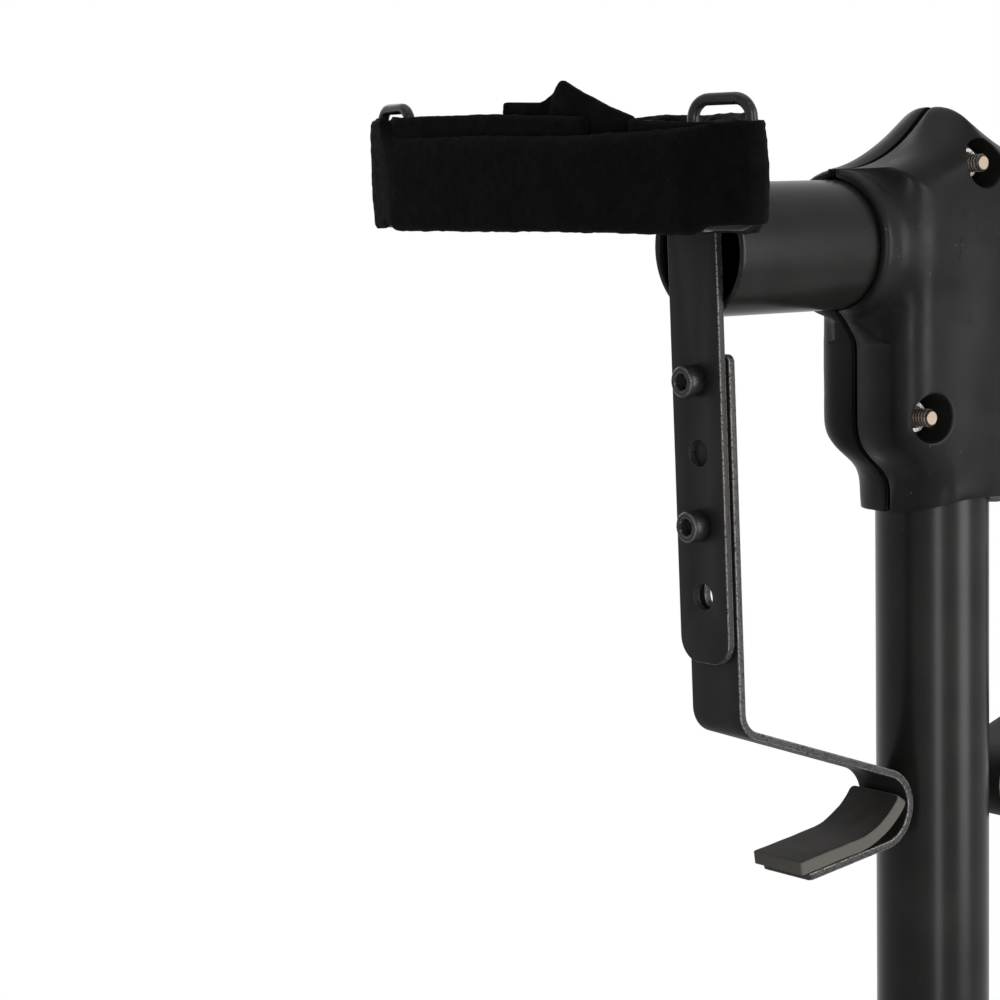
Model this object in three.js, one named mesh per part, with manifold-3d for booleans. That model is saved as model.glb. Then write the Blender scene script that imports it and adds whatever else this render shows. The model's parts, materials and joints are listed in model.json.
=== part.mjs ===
// Double drum stand: a mast on a tubular base carries a crossbar with a drum holder at each end.
// Millimetres, +Z up. The origin is on the floor under the mast, the crossbar lies along X and the
// drummer's side, called the front here, is -Y.

import * as THREE from 'three';
import { mergeVertices } from 'three/addons/utils/BufferGeometryUtils.js';
import Module from 'manifold-3d';

const wasm = await Module();
wasm.setup();

// Driving dimensions of the whole stand
const armHeight = 850;
const baseAxisHeight = 52;
const footSpread = 260;
const footLength = 520;
const fitGap = 0.3;
const overrun = 6;

// Number of sides of round solids
const tubeSides = 24;
const fastenerSides = 10;
const recessSides = 12;
const holeSteps = 5;
const hexSides = 6;
const wireSides = 6;
const hubSides = 12;

// Tubes: outer radius and wall of each
const crossbarRadius = 21;
const crossbarWall = 2;
const mastRadius = 19;
const mastWall = 2;
const mastLength = 560;
const columnRadius = 22.5;
const columnWall = 1.5;
const collarDrop = 305;
const columnTop = armHeight - collarDrop;
const baseTubeRadius = 21;
const baseTubeWall = 1.8;

// Moulded T cover around a through tube and a branch tube that meets it from below
const coverPeak = 45;
const coverCrownX = 5;
const coverCrownZ = 44;
const coverShoulderX = 13;
const coverShoulderZ = 28;
const coverCollarReach = 45;
const coverCollarWall = 3.5;
const coverCollarHeel = 4;
const coverSleeveWall = 2.2;
const coverWebWidth = 17;
const coverWebTop = 32;
const coverWebBottom = 58;
const coverTaperBottom = 71;
const coverTaperReach = 24;
const coverSleeveTop = 80;
const coverBranchEnd = 88.5;
const coverFrontThickness = 25;
const coverFrontWall = 15;
const coverFrontRadius = 11;
const coverRearThickness = 22;
const coverRearWall = 9;
const coverRearRadius = 13;
const coverPeakWall = 2.5;
const coverPeakRadius = 27;
const coverPartingGap = 2;
const coverSpokes = 24;
const coverRingShares = [0.5, 0.76, 0.9, 1];
const coverBlendPower = 8;
const coverSlopeSteps = 4;
const coverWebSteps = 3;

// Clamping bolts of a cover, one over the through tube and two beside the branch
const coverTopBoltZ = 25.5;
const coverLowBoltGap = 2;
const coverLowBoltZ = -56.3;
const coverRecessRadius = 8;
const coverRecessFloor = 12.2;
const coverThreadOut = 7.6;

// M6 fasteners
const boltRadius = 3;
const boltClearance = 0.3;
const headRadius = 5;
const headHeight = 6;
const socketRadius = 2.9;
const socketDepth = 3;
const nutRadius = 5.6;
const nutHeight = 3.6;
const nutFlangeRadius = 6.6;
const nutFlangeHeight = 1.4;

// Drum holder: how far the crossbar reaches, and how far a holder's foot leans in to the mast
const holderReach = 105.7;
const holderTilt = THREE.MathUtils.degToRad(1.7);

// Upright flat bar at each end of the crossbar
const barWidth = 23;
const barThickness = 2.5;
const spacerThickness = 0.8;
const spacerWidth = 13;
const barBottom = -130.6;
const barCorner = 8;
const barHoleRadius = 4.3;
const barHolePitch = 22.9;
const barFirstHole = -40.5;
const barHoleCount = 4;
const barBoltEnd = 1.5;

// Hook bar behind the upright bar
const hookTop = -32.4;
const hookBendZ = -146.3;
const hookBendRadius = 8.4;
const hookBendSteps = 4;
const hookLegFall = THREE.MathUtils.degToRad(20.5);
const hookLegLength = 63.6;
const hookCurlRadius = 12.3;
const hookCurlSteps = 9;
const hookShelfFall = THREE.MathUtils.degToRad(6.5);
const hookShelfLength = 35.8;
const hookSlotWidth = 6.8;
const hookSlotTop = -36.9;
const hookSlotBottom = -113;

// Pad on the shelf of the hook
const padThickness = 4.4;
const padOverhang = 3.2;
const padFlatLength = 22.5;
const padCurlRadius = 30;
const padCurlTurn = THREE.MathUtils.degToRad(46);
const padCurlSteps = 6;

// Yoke: a C of flat steel in a padded sleeve
const yokeRadius = 65.5;
const yokeBandThickness = 3;
const yokeBandWidth = 30;
const yokeCentreZ = 24.1;
const yokeHalfAngle = THREE.MathUtils.degToRad(78);
const yokeSides = 16;
const sleeveWall = 4;
const sleeveWidth = 37;
const sleeveSetback = THREE.MathUtils.degToRad(3);
const sleeveBevel = 1.8;

// Wire ring at each end of the yoke
const ringWireRadius = 1.75;
const ringInner = 68.9;
const ringOuter = 89.4;
const ringBottom = 9.6;
const ringTop = 46.2;
const ringCorner = 5;
const ringCornerSteps = 3;

// Hook-and-loop strap between the rings
const strapThickness = 2.4;
const strapWidth = 29;
const strapLift = 0.7;
const strapLayerGap = 0.4;
const strapLapInset = 3;
const strapFrontEndV = 44;
const strapBackEndV = 24;
const strapWrapSteps = 6;
const strapSag = 1.5;
const tailThickness = 2.2;
const tailLowZ = 27;
const tailStartV = -23;
const tailLength = 61;
const tailEdgeZ = 46.8;
const tailPeakZ = 53.2;
const tailPeakShare = 0.44;
const tailFlatShare = 0.29;
const tailEndZ = 41.6;

// Clamp collar at the top of the column, with its bush and knob
const collarRadius = 29;
const collarHeight = 46;
const collarLip = 12;
const collarSlit = 3;
const collarEarReach = 44;
const collarEarHalfWidth = 13;
const collarEarHalfHeight = 12;
const bushLength = 34;
const bushFlange = 2;
const knobRadius = 19;
const knobThickness = 13;
const knobLobes = 5;
const knobLobeShare = 0.13;
const knobSides = 30;
const knobBevel = 1.6;
const knobHubRadius = 9;
const knobHubLength = 15;
const knobStudRadius = 4;
const knobStudX = 35.5;

// Rubber boot on each end of a foot tube
const bootLength = 62;
const bootWall = 5;
const bootSoleHalfWidth = 29;
const bootSoleHeight = 16;
const bootBevel = 2;
const bootSteps = 8;

const looks = {
  paint: { color: 0x1d1c1c, roughness: 0.38, metalness: 0.55 },
  flatBar: { color: 0x1b191a, roughness: 0.55, metalness: 0.5 },
  cover: { color: 0x262524, roughness: 0.42, metalness: 0.0 },
  blackBolt: { color: 0x18181a, roughness: 0.4, metalness: 0.8 },
  threadedSteel: { color: 0x5a4a3e, roughness: 0.5, metalness: 0.8 },
  zincSteel: { color: 0xa7a7a5, roughness: 0.35, metalness: 0.9 },
  velvet: { color: 0x0c0b0b, roughness: 1.0, metalness: 0.0 },
  pad: { color: 0x1b1816, roughness: 0.9, metalness: 0.0 },
  rubber: { color: 0x1a1a1a, roughness: 0.85, metalness: 0.0 },
  wire: { color: 0x151515, roughness: 0.35, metalness: 0.7 },
};

// A closed mesh with shared corners and its faces pointing out
function closed(geometry) {
  let bare = geometry.index ? geometry.toNonIndexed() : geometry.clone();
  bare.deleteAttribute('normal');
  bare.deleteAttribute('uv');
  bare = mergeVertices(bare);
  const place = bare.getAttribute('position');
  const index = Array.from(bare.index.array);
  const kept = [];
  let volume = 0;
  for (let i = 0; i < index.length; i += 3) {
    const [a, b, c] = index.slice(i, i + 3);
    if (a === b || b === c || c === a) continue;
    kept.push(a, b, c);
    const pa = new THREE.Vector3().fromBufferAttribute(place, a);
    const pb = new THREE.Vector3().fromBufferAttribute(place, b);
    const pc = new THREE.Vector3().fromBufferAttribute(place, c);
    volume += pa.dot(pb.cross(pc));
  }
  bare.setIndex(volume < 0 ? kept.reverse() : kept);
  return bare;
}

function toSolid(geometry) {
  const mesh = closed(geometry);
  const vertProperties = new Float32Array(mesh.getAttribute('position').array);
  const triVerts = new Uint32Array(mesh.index.array);
  return new wasm.Manifold(new wasm.Mesh({ numProp: 3, vertProperties, triVerts }));
}

function toGeometry(solid) {
  const mesh = solid.getMesh();
  const geometry = new THREE.BufferGeometry();
  geometry.setAttribute('position', new THREE.Float32BufferAttribute(mesh.vertProperties, 3));
  geometry.setIndex(Array.from(mesh.triVerts));
  return geometry;
}

function cut(geometry, ...cutters) {
  let solid = toSolid(geometry);
  for (const cutter of cutters) solid = solid.subtract(toSolid(cutter));
  return toGeometry(solid);
}

function join(...geometries) {
  return toGeometry(geometries.map(toSolid).reduce((whole, next) => whole.add(next)));
}

function part(name, geometry, look) {
  const mesh = new THREE.Mesh(closed(geometry), new THREE.MeshStandardMaterial(look));
  mesh.name = name;
  return mesh;
}

function group(...children) {
  const holder = new THREE.Group();
  holder.add(...children);
  return holder;
}

// Cylinder along +Z that starts at the origin
function rod(radius, length, sides) {
  const shape = new THREE.CylinderGeometry(radius, radius, length, sides);
  return shape.rotateX(Math.PI / 2).translate(0, 0, length / 2);
}

// Tube along +Z that starts at the origin
function pipe(outer, inner, length, sides = tubeSides) {
  const profile = [
    new THREE.Vector2(inner, 0),
    new THREE.Vector2(outer, 0),
    new THREE.Vector2(outer, length),
    new THREE.Vector2(inner, length),
    new THREE.Vector2(inner, 0),
  ];
  return new THREE.LatheGeometry(profile, sides).rotateX(Math.PI / 2);
}

function box(x0, x1, y0, y1, z0, z1) {
  const shape = new THREE.BoxGeometry(x1 - x0, y1 - y0, z1 - z0);
  return shape.translate((x0 + x1) / 2, (y0 + y1) / 2, (z0 + z1) / 2);
}

// Turns a solid made along +Z so that it lies along +X, or along -Y
const alongX = (geometry) => geometry.rotateY(Math.PI / 2);
const alongFront = (geometry) => geometry.rotateX(Math.PI / 2);

// Stands up a flat solid drawn in YZ and extruded from X = 0 towards +X
const acrossX = (geometry) => geometry.rotateX(Math.PI / 2).rotateZ(Math.PI / 2);

function plate(shape, thickness) {
  const options = { depth: thickness, bevelEnabled: false, curveSegments: holeSteps };
  return new THREE.ExtrudeGeometry(shape, options);
}

function bevelledPlate(shape, thickness, bevel) {
  const options = { depth: thickness - 2 * bevel, bevelThickness: bevel, bevelSize: bevel };
  const flat = new THREE.ExtrudeGeometry(shape, { ...options, bevelOffset: -bevel, bevelSegments: 1 });
  return flat.translate(0, 0, bevel);
}

// Points of a bent strip in a plane: straight runs and turns of a radius, left turns positive
function bentLine(start, heading, moves) {
  const points = [start.clone()];
  let at = start.clone();
  let angle = heading;
  for (const move of moves) {
    if (move.run) {
      at = at.clone().add(new THREE.Vector2(Math.cos(angle), Math.sin(angle)).multiplyScalar(move.run));
      points.push(at);
      continue;
    }
    const side = Math.sign(move.turn);
    const normal = new THREE.Vector2(-Math.sin(angle), Math.cos(angle)).multiplyScalar(side);
    const centre = at.clone().addScaledVector(normal, move.radius);
    const first = at.clone().sub(centre);
    for (let i = 1; i <= move.steps; i++) {
      const swing = first.clone().rotateAround(new THREE.Vector2(), (move.turn * i) / move.steps);
      points.push(centre.clone().add(swing));
    }
    at = points[points.length - 1].clone();
    angle += move.turn;
  }
  return points;
}

// Outline of a strip of a thickness along a line of points
function stripOutline(points, thickness) {
  const left = [];
  const right = [];
  points.forEach((point, i) => {
    const before = points[Math.max(i - 1, 0)];
    const after = points[Math.min(i + 1, points.length - 1)];
    const into = point.clone().sub(before).normalize();
    const out = after.clone().sub(point).normalize();
    const along = into.clone().add(out).normalize();
    const widen = i > 0 && i < points.length - 1 ? 1 / along.dot(out) : 1;
    const normal = new THREE.Vector2(-along.y, along.x).multiplyScalar((thickness / 2) * widen);
    left.push(point.clone().add(normal));
    right.push(point.clone().sub(normal));
  });
  return [...left, ...right.reverse()];
}

// Strip bent in the XZ plane and as wide as given along Y, centred on Y = 0
function sideStrip(points, thickness, width) {
  const flat = plate(new THREE.Shape(stripOutline(points, thickness)), width);
  return flat.rotateX(Math.PI / 2).translate(0, width / 2, 0);
}

// Round wire swept round a closed loop of points
function wireLoop(points, radius) {
  const count = points.length;
  const positions = [];
  const index = [];
  const middle = points.reduce((sum, p) => sum.add(p), new THREE.Vector3()).divideScalar(count);
  const plane = points[0].clone().sub(middle).cross(points[1].clone().sub(middle)).normalize();
  points.forEach((point, i) => {
    const before = points[(i + count - 1) % count];
    const after = points[(i + 1) % count];
    const along = after.clone().sub(before).normalize();
    const out = along.clone().cross(plane);
    for (let k = 0; k < wireSides; k++) {
      const turn = (2 * Math.PI * k) / wireSides;
      const place = point.clone().addScaledVector(out, radius * Math.cos(turn));
      positions.push(...place.addScaledVector(plane, radius * Math.sin(turn)).toArray());
      const a = i * wireSides + k;
      const b = i * wireSides + ((k + 1) % wireSides);
      const c = ((i + 1) % count) * wireSides + k;
      const d = ((i + 1) % count) * wireSides + ((k + 1) % wireSides);
      index.push(a, b, c, b, d, c);
    }
  });
  const geometry = new THREE.BufferGeometry();
  geometry.setAttribute('position', new THREE.Float32BufferAttribute(positions, 3));
  geometry.setIndex(index);
  return geometry;
}

// Bolt along +Z: the head sits below the origin and the shank runs up
function bolt(length, withSocket) {
  const profile = [
    new THREE.Vector2(0, -headHeight),
    new THREE.Vector2(headRadius, -headHeight),
    new THREE.Vector2(headRadius, 0),
    new THREE.Vector2(boltRadius, 0),
    new THREE.Vector2(boltRadius, length),
    new THREE.Vector2(0, length),
  ];
  const whole = new THREE.LatheGeometry(profile, fastenerSides).rotateX(Math.PI / 2);
  if (!withSocket) return whole;
  return cut(whole, rod(socketRadius, socketDepth + overrun, hexSides).translate(0, 0, -headHeight - overrun));
}

// Flanged nut along +Z, its flange at the origin
function nut() {
  const flange = rod(nutFlangeRadius, nutFlangeHeight, fastenerSides);
  const bore = rod(boltRadius + boltClearance, nutHeight + 2 * overrun, fastenerSides);
  return cut(join(flange, rod(nutRadius, nutHeight, hexSides)), bore.translate(0, 0, -overrun));
}

// Outline of the cover in its own XZ plane, right half from the peak down, mirrored for the left
function coverOutline(branchRadius) {
  const collar = crossbarRadius + coverCollarWall;
  const sleeve = branchRadius + coverSleeveWall;
  const webReach = branchRadius + coverWebWidth;
  const slope = [
    new THREE.Vector2(0, coverPeak),
    new THREE.Vector2(coverCrownX, coverCrownZ),
    new THREE.Vector2(coverShoulderX, coverShoulderZ),
    new THREE.Vector2(webReach, collar),
  ];
  const slopeLine = new THREE.CubicBezierCurve(slope[0], slope[1], slope[2], slope[3]).getPoints(coverSlopeSteps);
  const web = new THREE.CubicBezierCurve(
    new THREE.Vector2(webReach, -coverWebBottom),
    new THREE.Vector2(webReach, -coverTaperBottom),
    new THREE.Vector2(coverTaperReach, -coverTaperBottom),
    new THREE.Vector2(sleeve, -coverSleeveTop),
  ).getPoints(coverWebSteps);
  const right = [
    ...slopeLine,
    new THREE.Vector2(coverCollarReach, collar),
    new THREE.Vector2(coverCollarReach, -collar + coverCollarHeel),
    new THREE.Vector2(coverCollarReach - coverCollarHeel, -collar),
    new THREE.Vector2(webReach, -coverWebTop),
    ...web,
    new THREE.Vector2(sleeve, -coverBranchEnd),
  ];
  const left = right.slice(1).reverse().map((p) => new THREE.Vector2(-p.x, p.y));
  return [...right, ...left];
}

// Distance from a point to the part of the outline that has a free edge, not the tube mouths
function freeEdgeDistance(point, outline, webReach) {
  const collar = crossbarRadius + coverCollarWall;
  let least = Infinity;
  outline.forEach((a, i) => {
    const b = outline[(i + 1) % outline.length];
    const collarEnd = Math.abs(a.x) > webReach && Math.abs(b.x) > webReach;
    const branchMouth = a.y <= -coverBranchEnd && b.y <= -coverBranchEnd;
    if (collarEnd || branchMouth) return;
    const run = b.clone().sub(a);
    const share = THREE.MathUtils.clamp(point.clone().sub(a).dot(run) / run.lengthSq(), 0, 1);
    least = Math.min(least, point.distanceTo(a.clone().addScaledVector(run, share)));
  });
  const overCollar = Math.abs(point.x) - webReach;
  return Math.abs(point.y) <= collar ? Math.min(least, -overCollar) : least;
}

// The front half is deeper and squarer at its sides than the rear half
const coverFrontForm = { thickness: coverFrontThickness, wall: coverFrontWall, radius: coverFrontRadius };
const coverRearForm = { thickness: coverRearThickness, wall: coverRearWall, radius: coverRearRadius };

// How far the cover's skin stands from the parting plane at a point
function coverRise(point, outline, branchRadius, form) {
  const collar = crossbarRadius + coverCollarWall;
  const sleeve = branchRadius + coverSleeveWall;
  const webReach = branchRadius + coverWebWidth;
  const overTube = Math.sqrt(Math.max(collar ** 2 - point.y ** 2, 0));
  const belowTube = point.y < 0 ? Math.sqrt(Math.max(sleeve ** 2 - point.x ** 2, 0)) : 0;
  const edge = freeEdgeDistance(point, outline, webReach);
  const high = THREE.MathUtils.smoothstep(point.y, crossbarRadius, coverPeak);
  const edgeRadius = THREE.MathUtils.lerp(form.radius, coverPeakRadius, high);
  const inShare = THREE.MathUtils.clamp(edge / edgeRadius, 0, 1);
  const round = Math.sqrt(1 - (1 - inShare) ** 2);
  const fade = THREE.MathUtils.clamp(1 + edge / (coverCollarReach - webReach), 0, 1);
  const low = THREE.MathUtils.smoothstep(-point.y, coverWebBottom, coverBranchEnd);
  const crown = THREE.MathUtils.lerp(form.thickness, sleeve, low);
  const sideWall = THREE.MathUtils.lerp(form.wall, coverPeakWall, high);
  const wall = THREE.MathUtils.lerp(sideWall, coverSleeveWall, low);
  const body = (wall + (crown - wall) * round) * fade;
  const sum = overTube ** coverBlendPower + belowTube ** coverBlendPower + body ** coverBlendPower;
  return Math.max(sum ** (1 / coverBlendPower), coverPartingGap);
}

// Where a ray from the middle of the cover meets the outline
function outlineAt(angle, middle, outline) {
  const ray = new THREE.Vector2(Math.cos(angle), Math.sin(angle));
  let best = null;
  outline.forEach((a, i) => {
    const b = outline[(i + 1) % outline.length];
    const run = b.clone().sub(a);
    const cross = ray.x * run.y - ray.y * run.x;
    if (cross === 0) return;
    const from = a.clone().sub(middle);
    const far = (from.x * run.y - from.y * run.x) / cross;
    const along = (from.x * ray.y - from.y * ray.x) / cross;
    if (far > 0 && along >= 0 && along <= 1 && (best === null || far > best)) best = far;
  });
  return middle.clone().addScaledVector(ray, best);
}

// One half of the cover, on the -Y side of the parting plane for side -1 and on the +Y side for 1
function coverHalf(branchRadius, side, form) {
  const outline = coverOutline(branchRadius);
  const middle = new THREE.Vector2(0, -crossbarRadius / 2);
  const base = coverPartingGap / 2;
  const corners = outline.map((p) => Math.atan2(p.y - middle.y, p.x - middle.x));
  const even = Array.from({ length: coverSpokes }, (_, i) => (2 * Math.PI * i) / coverSpokes - Math.PI);
  const closeBy = (Math.PI / coverSpokes) * (2 / 3);
  const spare = even.filter((angle) => corners.every((c) => Math.abs(c - angle) > closeBy));
  const angles = [...corners, ...spare].sort((a, b) => a - b);
  const positions = [];
  const index = [];
  const add = (point, rise) => positions.push(point.x, side * rise, point.y) / 3 - 1;
  const top = add(middle, coverRise(middle, outline, branchRadius, form));
  const floor = add(middle, base);
  const rings = [...coverRingShares.map(() => []), []];
  for (const angle of angles) {
    const rim = outlineAt(angle, middle, outline);
    coverRingShares.forEach((share, k) => {
      const point = middle.clone().lerp(rim, share);
      rings[k].push(add(point, coverRise(point, outline, branchRadius, form)));
    });
    rings[coverRingShares.length].push(add(rim, base));
  }
  angles.forEach((_, i) => {
    const j = (i + 1) % angles.length;
    index.push(top, rings[0][i], rings[0][j]);
    for (let k = 0; k + 1 < rings.length; k++) {
      index.push(rings[k][i], rings[k + 1][i], rings[k + 1][j]);
      index.push(rings[k][i], rings[k + 1][j], rings[k][j]);
    }
    const last = rings[rings.length - 1];
    index.push(last[i], floor, last[j]);
  });
  const geometry = new THREE.BufferGeometry();
  geometry.setAttribute('position', new THREE.Float32BufferAttribute(positions, 3));
  geometry.setIndex(index);
  return geometry;
}

function coverBoltPlaces(branchRadius) {
  const lowX = branchRadius + boltRadius + coverLowBoltGap;
  return {
    middle: new THREE.Vector2(0, coverTopBoltZ),
    left: new THREE.Vector2(-lowX, coverLowBoltZ),
    right: new THREE.Vector2(lowX, coverLowBoltZ),
  };
}

// Bores of a cover for its through tube and its branch tube
function coverBores(branchRadius) {
  const reach = coverCollarReach + overrun;
  const depth = coverBranchEnd + overrun;
  return [
    alongX(rod(crossbarRadius + fitGap, 2 * reach, tubeSides)).translate(-reach, 0, 0),
    rod(branchRadius + fitGap, depth, tubeSides).translate(0, 0, -depth),
  ];
}

// Cover half with its bores, and the bolt holes with their recesses
function boltedCoverHalf(branchRadius, side) {
  const form = side < 0 ? coverFrontForm : coverRearForm;
  const deep = form.thickness + overrun;
  const cutters = coverBores(branchRadius);
  for (const place of Object.values(coverBoltPlaces(branchRadius))) {
    const hole = alongFront(rod(boltRadius + boltClearance, 2 * deep, fastenerSides));
    cutters.push(hole.translate(place.x, deep, place.y));
    const recess = alongFront(rod(coverRecessRadius, deep, recessSides));
    const start = side < 0 ? -coverRecessFloor : coverRecessFloor + deep;
    cutters.push(recess.translate(place.x, start, place.y));
  }
  return cut(coverHalf(branchRadius, side, form), ...cutters);
}

// Cover of the same shape moulded in one piece
function oneCover(branchRadius) {
  const seam = plate(new THREE.Shape(coverOutline(branchRadius)), 2 * coverPartingGap);
  const middle = alongFront(seam).translate(0, coverPartingGap, 0);
  const under = coverHalf(branchRadius, -1, coverFrontForm);
  const over = coverHalf(branchRadius, 1, coverFrontForm);
  const whole = join(under, middle, over);
  return cut(whole, ...coverBores(branchRadius));
}

// The bolts come from the back, and their nuts and thread ends are in the front recesses
function coverFasteners(name, branchRadius) {
  const seat = coverRecessFloor + fitGap;
  const length = 2 * seat + nutHeight + coverThreadOut;
  return Object.entries(coverBoltPlaces(branchRadius)).flatMap(([where, place]) => [
    part(
      `${name}_bolt_${where}`,
      alongFront(bolt(length, true)).translate(place.x, seat, place.y),
      looks.threadedSteel,
    ),
    part(
      `${name}_nut_${where}`,
      alongFront(nut()).translate(place.x, -seat, place.y),
      looks.zincSteel,
    ),
  ]);
}

function boltedCover(name, branchRadius) {
  return [
    part(`${name}_front`, boltedCoverHalf(branchRadius, -1), looks.cover),
    part(`${name}_back`, boltedCoverHalf(branchRadius, 1), looks.cover),
    ...coverFasteners(name, branchRadius),
  ];
}

// The upright bar and the hook bar, as planes of X in the holder's frame
const barOuterX = holderReach;
const barInnerX = barOuterX - barThickness;
const spacerOuterX = barInnerX - fitGap;
const hookOuterX = spacerOuterX - spacerThickness - fitGap;
const hookMiddleX = hookOuterX - barThickness / 2;
const barTop = yokeCentreZ + yokeBandWidth / 2;
const barHoles = Array.from({ length: barHoleCount }, (_, i) => barFirstHole - i * barHolePitch);
const barBoltHoles = { upper: barHoles[0], lower: barHoles[2] };

function uprightBar() {
  const half = barWidth / 2;
  const shape = new THREE.Shape();
  shape.moveTo(-half, barTop);
  shape.lineTo(-half, barBottom + barCorner);
  shape.absarc(-half + barCorner, barBottom + barCorner, barCorner, Math.PI, 1.5 * Math.PI);
  shape.absarc(half - barCorner, barBottom + barCorner, barCorner, 1.5 * Math.PI, 2 * Math.PI);
  shape.lineTo(half, barTop);
  for (const z of barHoles) {
    shape.holes.push(new THREE.Path().absarc(0, z, barHoleRadius, 0, 2 * Math.PI));
  }
  return acrossX(plate(shape, barThickness)).translate(barInnerX, 0, 0);
}

// Middle line of the hook bar in the holder's XZ plane
function hookLine() {
  const down = -Math.PI / 2;
  const start = new THREE.Vector2(hookMiddleX, hookTop);
  return bentLine(start, down, [
    { run: hookTop - hookBendZ },
    { radius: hookBendRadius, turn: -(Math.PI / 2 - hookLegFall), steps: hookBendSteps },
    { run: hookLegLength },
    { radius: hookCurlRadius, turn: Math.PI - hookLegFall - hookShelfFall, steps: hookCurlSteps },
    { run: hookShelfLength },
  ]);
}

function hookBar() {
  const line = hookLine();
  const strip = sideStrip(line, barThickness, barWidth);
  const slotHalf = hookSlotWidth / 2;
  const slot = new THREE.Shape();
  slot.absarc(0, hookSlotTop - slotHalf, slotHalf, 0, Math.PI);
  slot.absarc(0, hookSlotBottom + slotHalf, slotHalf, Math.PI, 2 * Math.PI);
  const cutter = acrossX(plate(slot, barThickness + 2 * overrun));
  return cut(strip, cutter.translate(hookOuterX - barThickness - overrun, 0, 0));
}

function hookPad() {
  const line = hookLine();
  const tip = line[line.length - 1];
  const inward = Math.PI - hookShelfFall;
  const back = new THREE.Vector2(Math.cos(inward), Math.sin(inward));
  const up = new THREE.Vector2(back.y, -back.x);
  const lift = barThickness / 2 + fitGap + padThickness / 2;
  const start = tip.clone().addScaledVector(up, lift).addScaledVector(back, -padOverhang);
  const middle = bentLine(start, inward, [
    { run: padOverhang + padFlatLength },
    { radius: padCurlRadius, turn: -padCurlTurn, steps: padCurlSteps },
  ]);
  return sideStrip(middle, padThickness, barWidth);
}

// Bolts through the upright bar and the slot of the hook bar, each with its nut
function barFasteners(name) {
  const seat = barOuterX + fitGap;
  const nutX = hookOuterX - barThickness - fitGap;
  const length = seat - nutX + nutHeight + barBoltEnd;
  const inward = (geometry) => geometry.rotateY(-Math.PI / 2);
  return Object.entries(barBoltHoles).flatMap(([where, z]) => [
    part(`bar_bolt_${where}_${name}`, inward(bolt(length, true)).translate(seat, 0, z), looks.blackBolt),
    part(`bar_nut_${where}_${name}`, inward(nut()).translate(nutX, 0, z), looks.zincSteel),
  ]);
}

// Plate between the two bars, with a hole for each bolt
function barSpacer() {
  const half = spacerWidth / 2;
  const { upper, lower } = barBoltHoles;
  const shape = new THREE.Shape();
  shape.absarc(0, upper, half, 0, Math.PI);
  shape.absarc(0, lower, half, Math.PI, 2 * Math.PI);
  for (const z of [upper, lower]) {
    shape.holes.push(new THREE.Path().absarc(0, z, boltRadius + boltClearance, 0, 2 * Math.PI));
  }
  return acrossX(plate(shape, spacerThickness)).translate(spacerOuterX - spacerThickness, 0, 0);
}

const yokeX = barOuterX + fitGap + yokeBandThickness + yokeRadius;

// Sector of a ring in plan, open to +X, as a plate between two heights
function yokeSector(inner, outer, halfAngle, z0, z1, bevel = 0) {
  const shape = new THREE.Shape();
  const from = Math.PI - halfAngle;
  const to = Math.PI + halfAngle;
  shape.absarc(0, 0, outer, from, to, false);
  shape.absarc(0, 0, inner, to, from, true);
  const height = z1 - z0;
  const edge = { bevelThickness: bevel, bevelSize: bevel, bevelOffset: -bevel, bevelSegments: 1 };
  const options = { depth: height - 2 * bevel, bevelEnabled: bevel > 0, curveSegments: yokeSides, ...edge };
  const flat = new THREE.ExtrudeGeometry(shape, options);
  return flat.translate(yokeX, 0, z0 + bevel);
}

function yokeBand() {
  const half = yokeBandWidth / 2;
  const outer = yokeRadius + yokeBandThickness;
  return yokeSector(yokeRadius, outer, yokeHalfAngle, yokeCentreZ - half, yokeCentreZ + half);
}

function yokeSleeve() {
  const inner = yokeRadius - sleeveWall;
  const outer = yokeRadius + yokeBandThickness + sleeveWall;
  const low = yokeCentreZ - sleeveWidth / 2;
  const high = yokeCentreZ + sleeveWidth / 2;
  const bandLow = yokeCentreZ - yokeBandWidth / 2 - fitGap;
  const bandHigh = yokeCentreZ + yokeBandWidth / 2 + fitGap;
  const bandOuter = yokeRadius + yokeBandThickness + fitGap;
  const half = barWidth / 2 + fitGap;
  return cut(
    yokeSector(inner, outer, yokeHalfAngle - sleeveSetback, low, high, sleeveBevel),
    yokeSector(yokeRadius - fitGap, bandOuter, yokeHalfAngle + sleeveSetback, bandLow, bandHigh),
    box(yokeX - 2 * outer, barInnerX, -outer, outer, low - overrun, high + overrun),
    box(yokeX - 2 * outer, yokeX - yokeRadius - yokeBandThickness, -half, half, low - overrun, bandHigh),
  );
}

// Middle of a ring in plan: it stands in a radial plane just past the end of the band
const ringTurn = yokeHalfAngle + (ringWireRadius + fitGap) / yokeRadius;

function ringPlace(radius, v) {
  return new THREE.Vector2(yokeX - radius * Math.cos(ringTurn), v * radius * Math.sin(ringTurn));
}

function wireRing(v) {
  const centres = [
    [ringInner + ringCorner, ringBottom + ringCorner, Math.PI],
    [ringOuter - ringCorner, ringBottom + ringCorner, 1.5 * Math.PI],
    [ringOuter - ringCorner, ringTop - ringCorner, 0],
    [ringInner + ringCorner, ringTop - ringCorner, 0.5 * Math.PI],
  ];
  const points = [];
  for (const [radius, z, from] of centres) {
    for (let i = 0; i <= ringCornerSteps; i++) {
      const turn = from + (Math.PI / 2) * (i / ringCornerSteps);
      const plan = ringPlace(radius + ringCorner * Math.cos(turn), v);
      points.push(new THREE.Vector3(plan.x, plan.y, z + ringCorner * Math.sin(turn)));
    }
  }
  return wireLoop(points, ringWireRadius);
}

// Planes of X of the strap's layers, in front of the inner legs of the rings
const ringInnerLeg = ringPlace(ringInner, 1);
const ringOuterLeg = ringPlace(ringOuter, 1);
const strapBackX = ringInnerLeg.x + ringWireRadius + fitGap + strapThickness / 2;
const strapFrontX = strapBackX + strapThickness + strapLayerGap;

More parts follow.
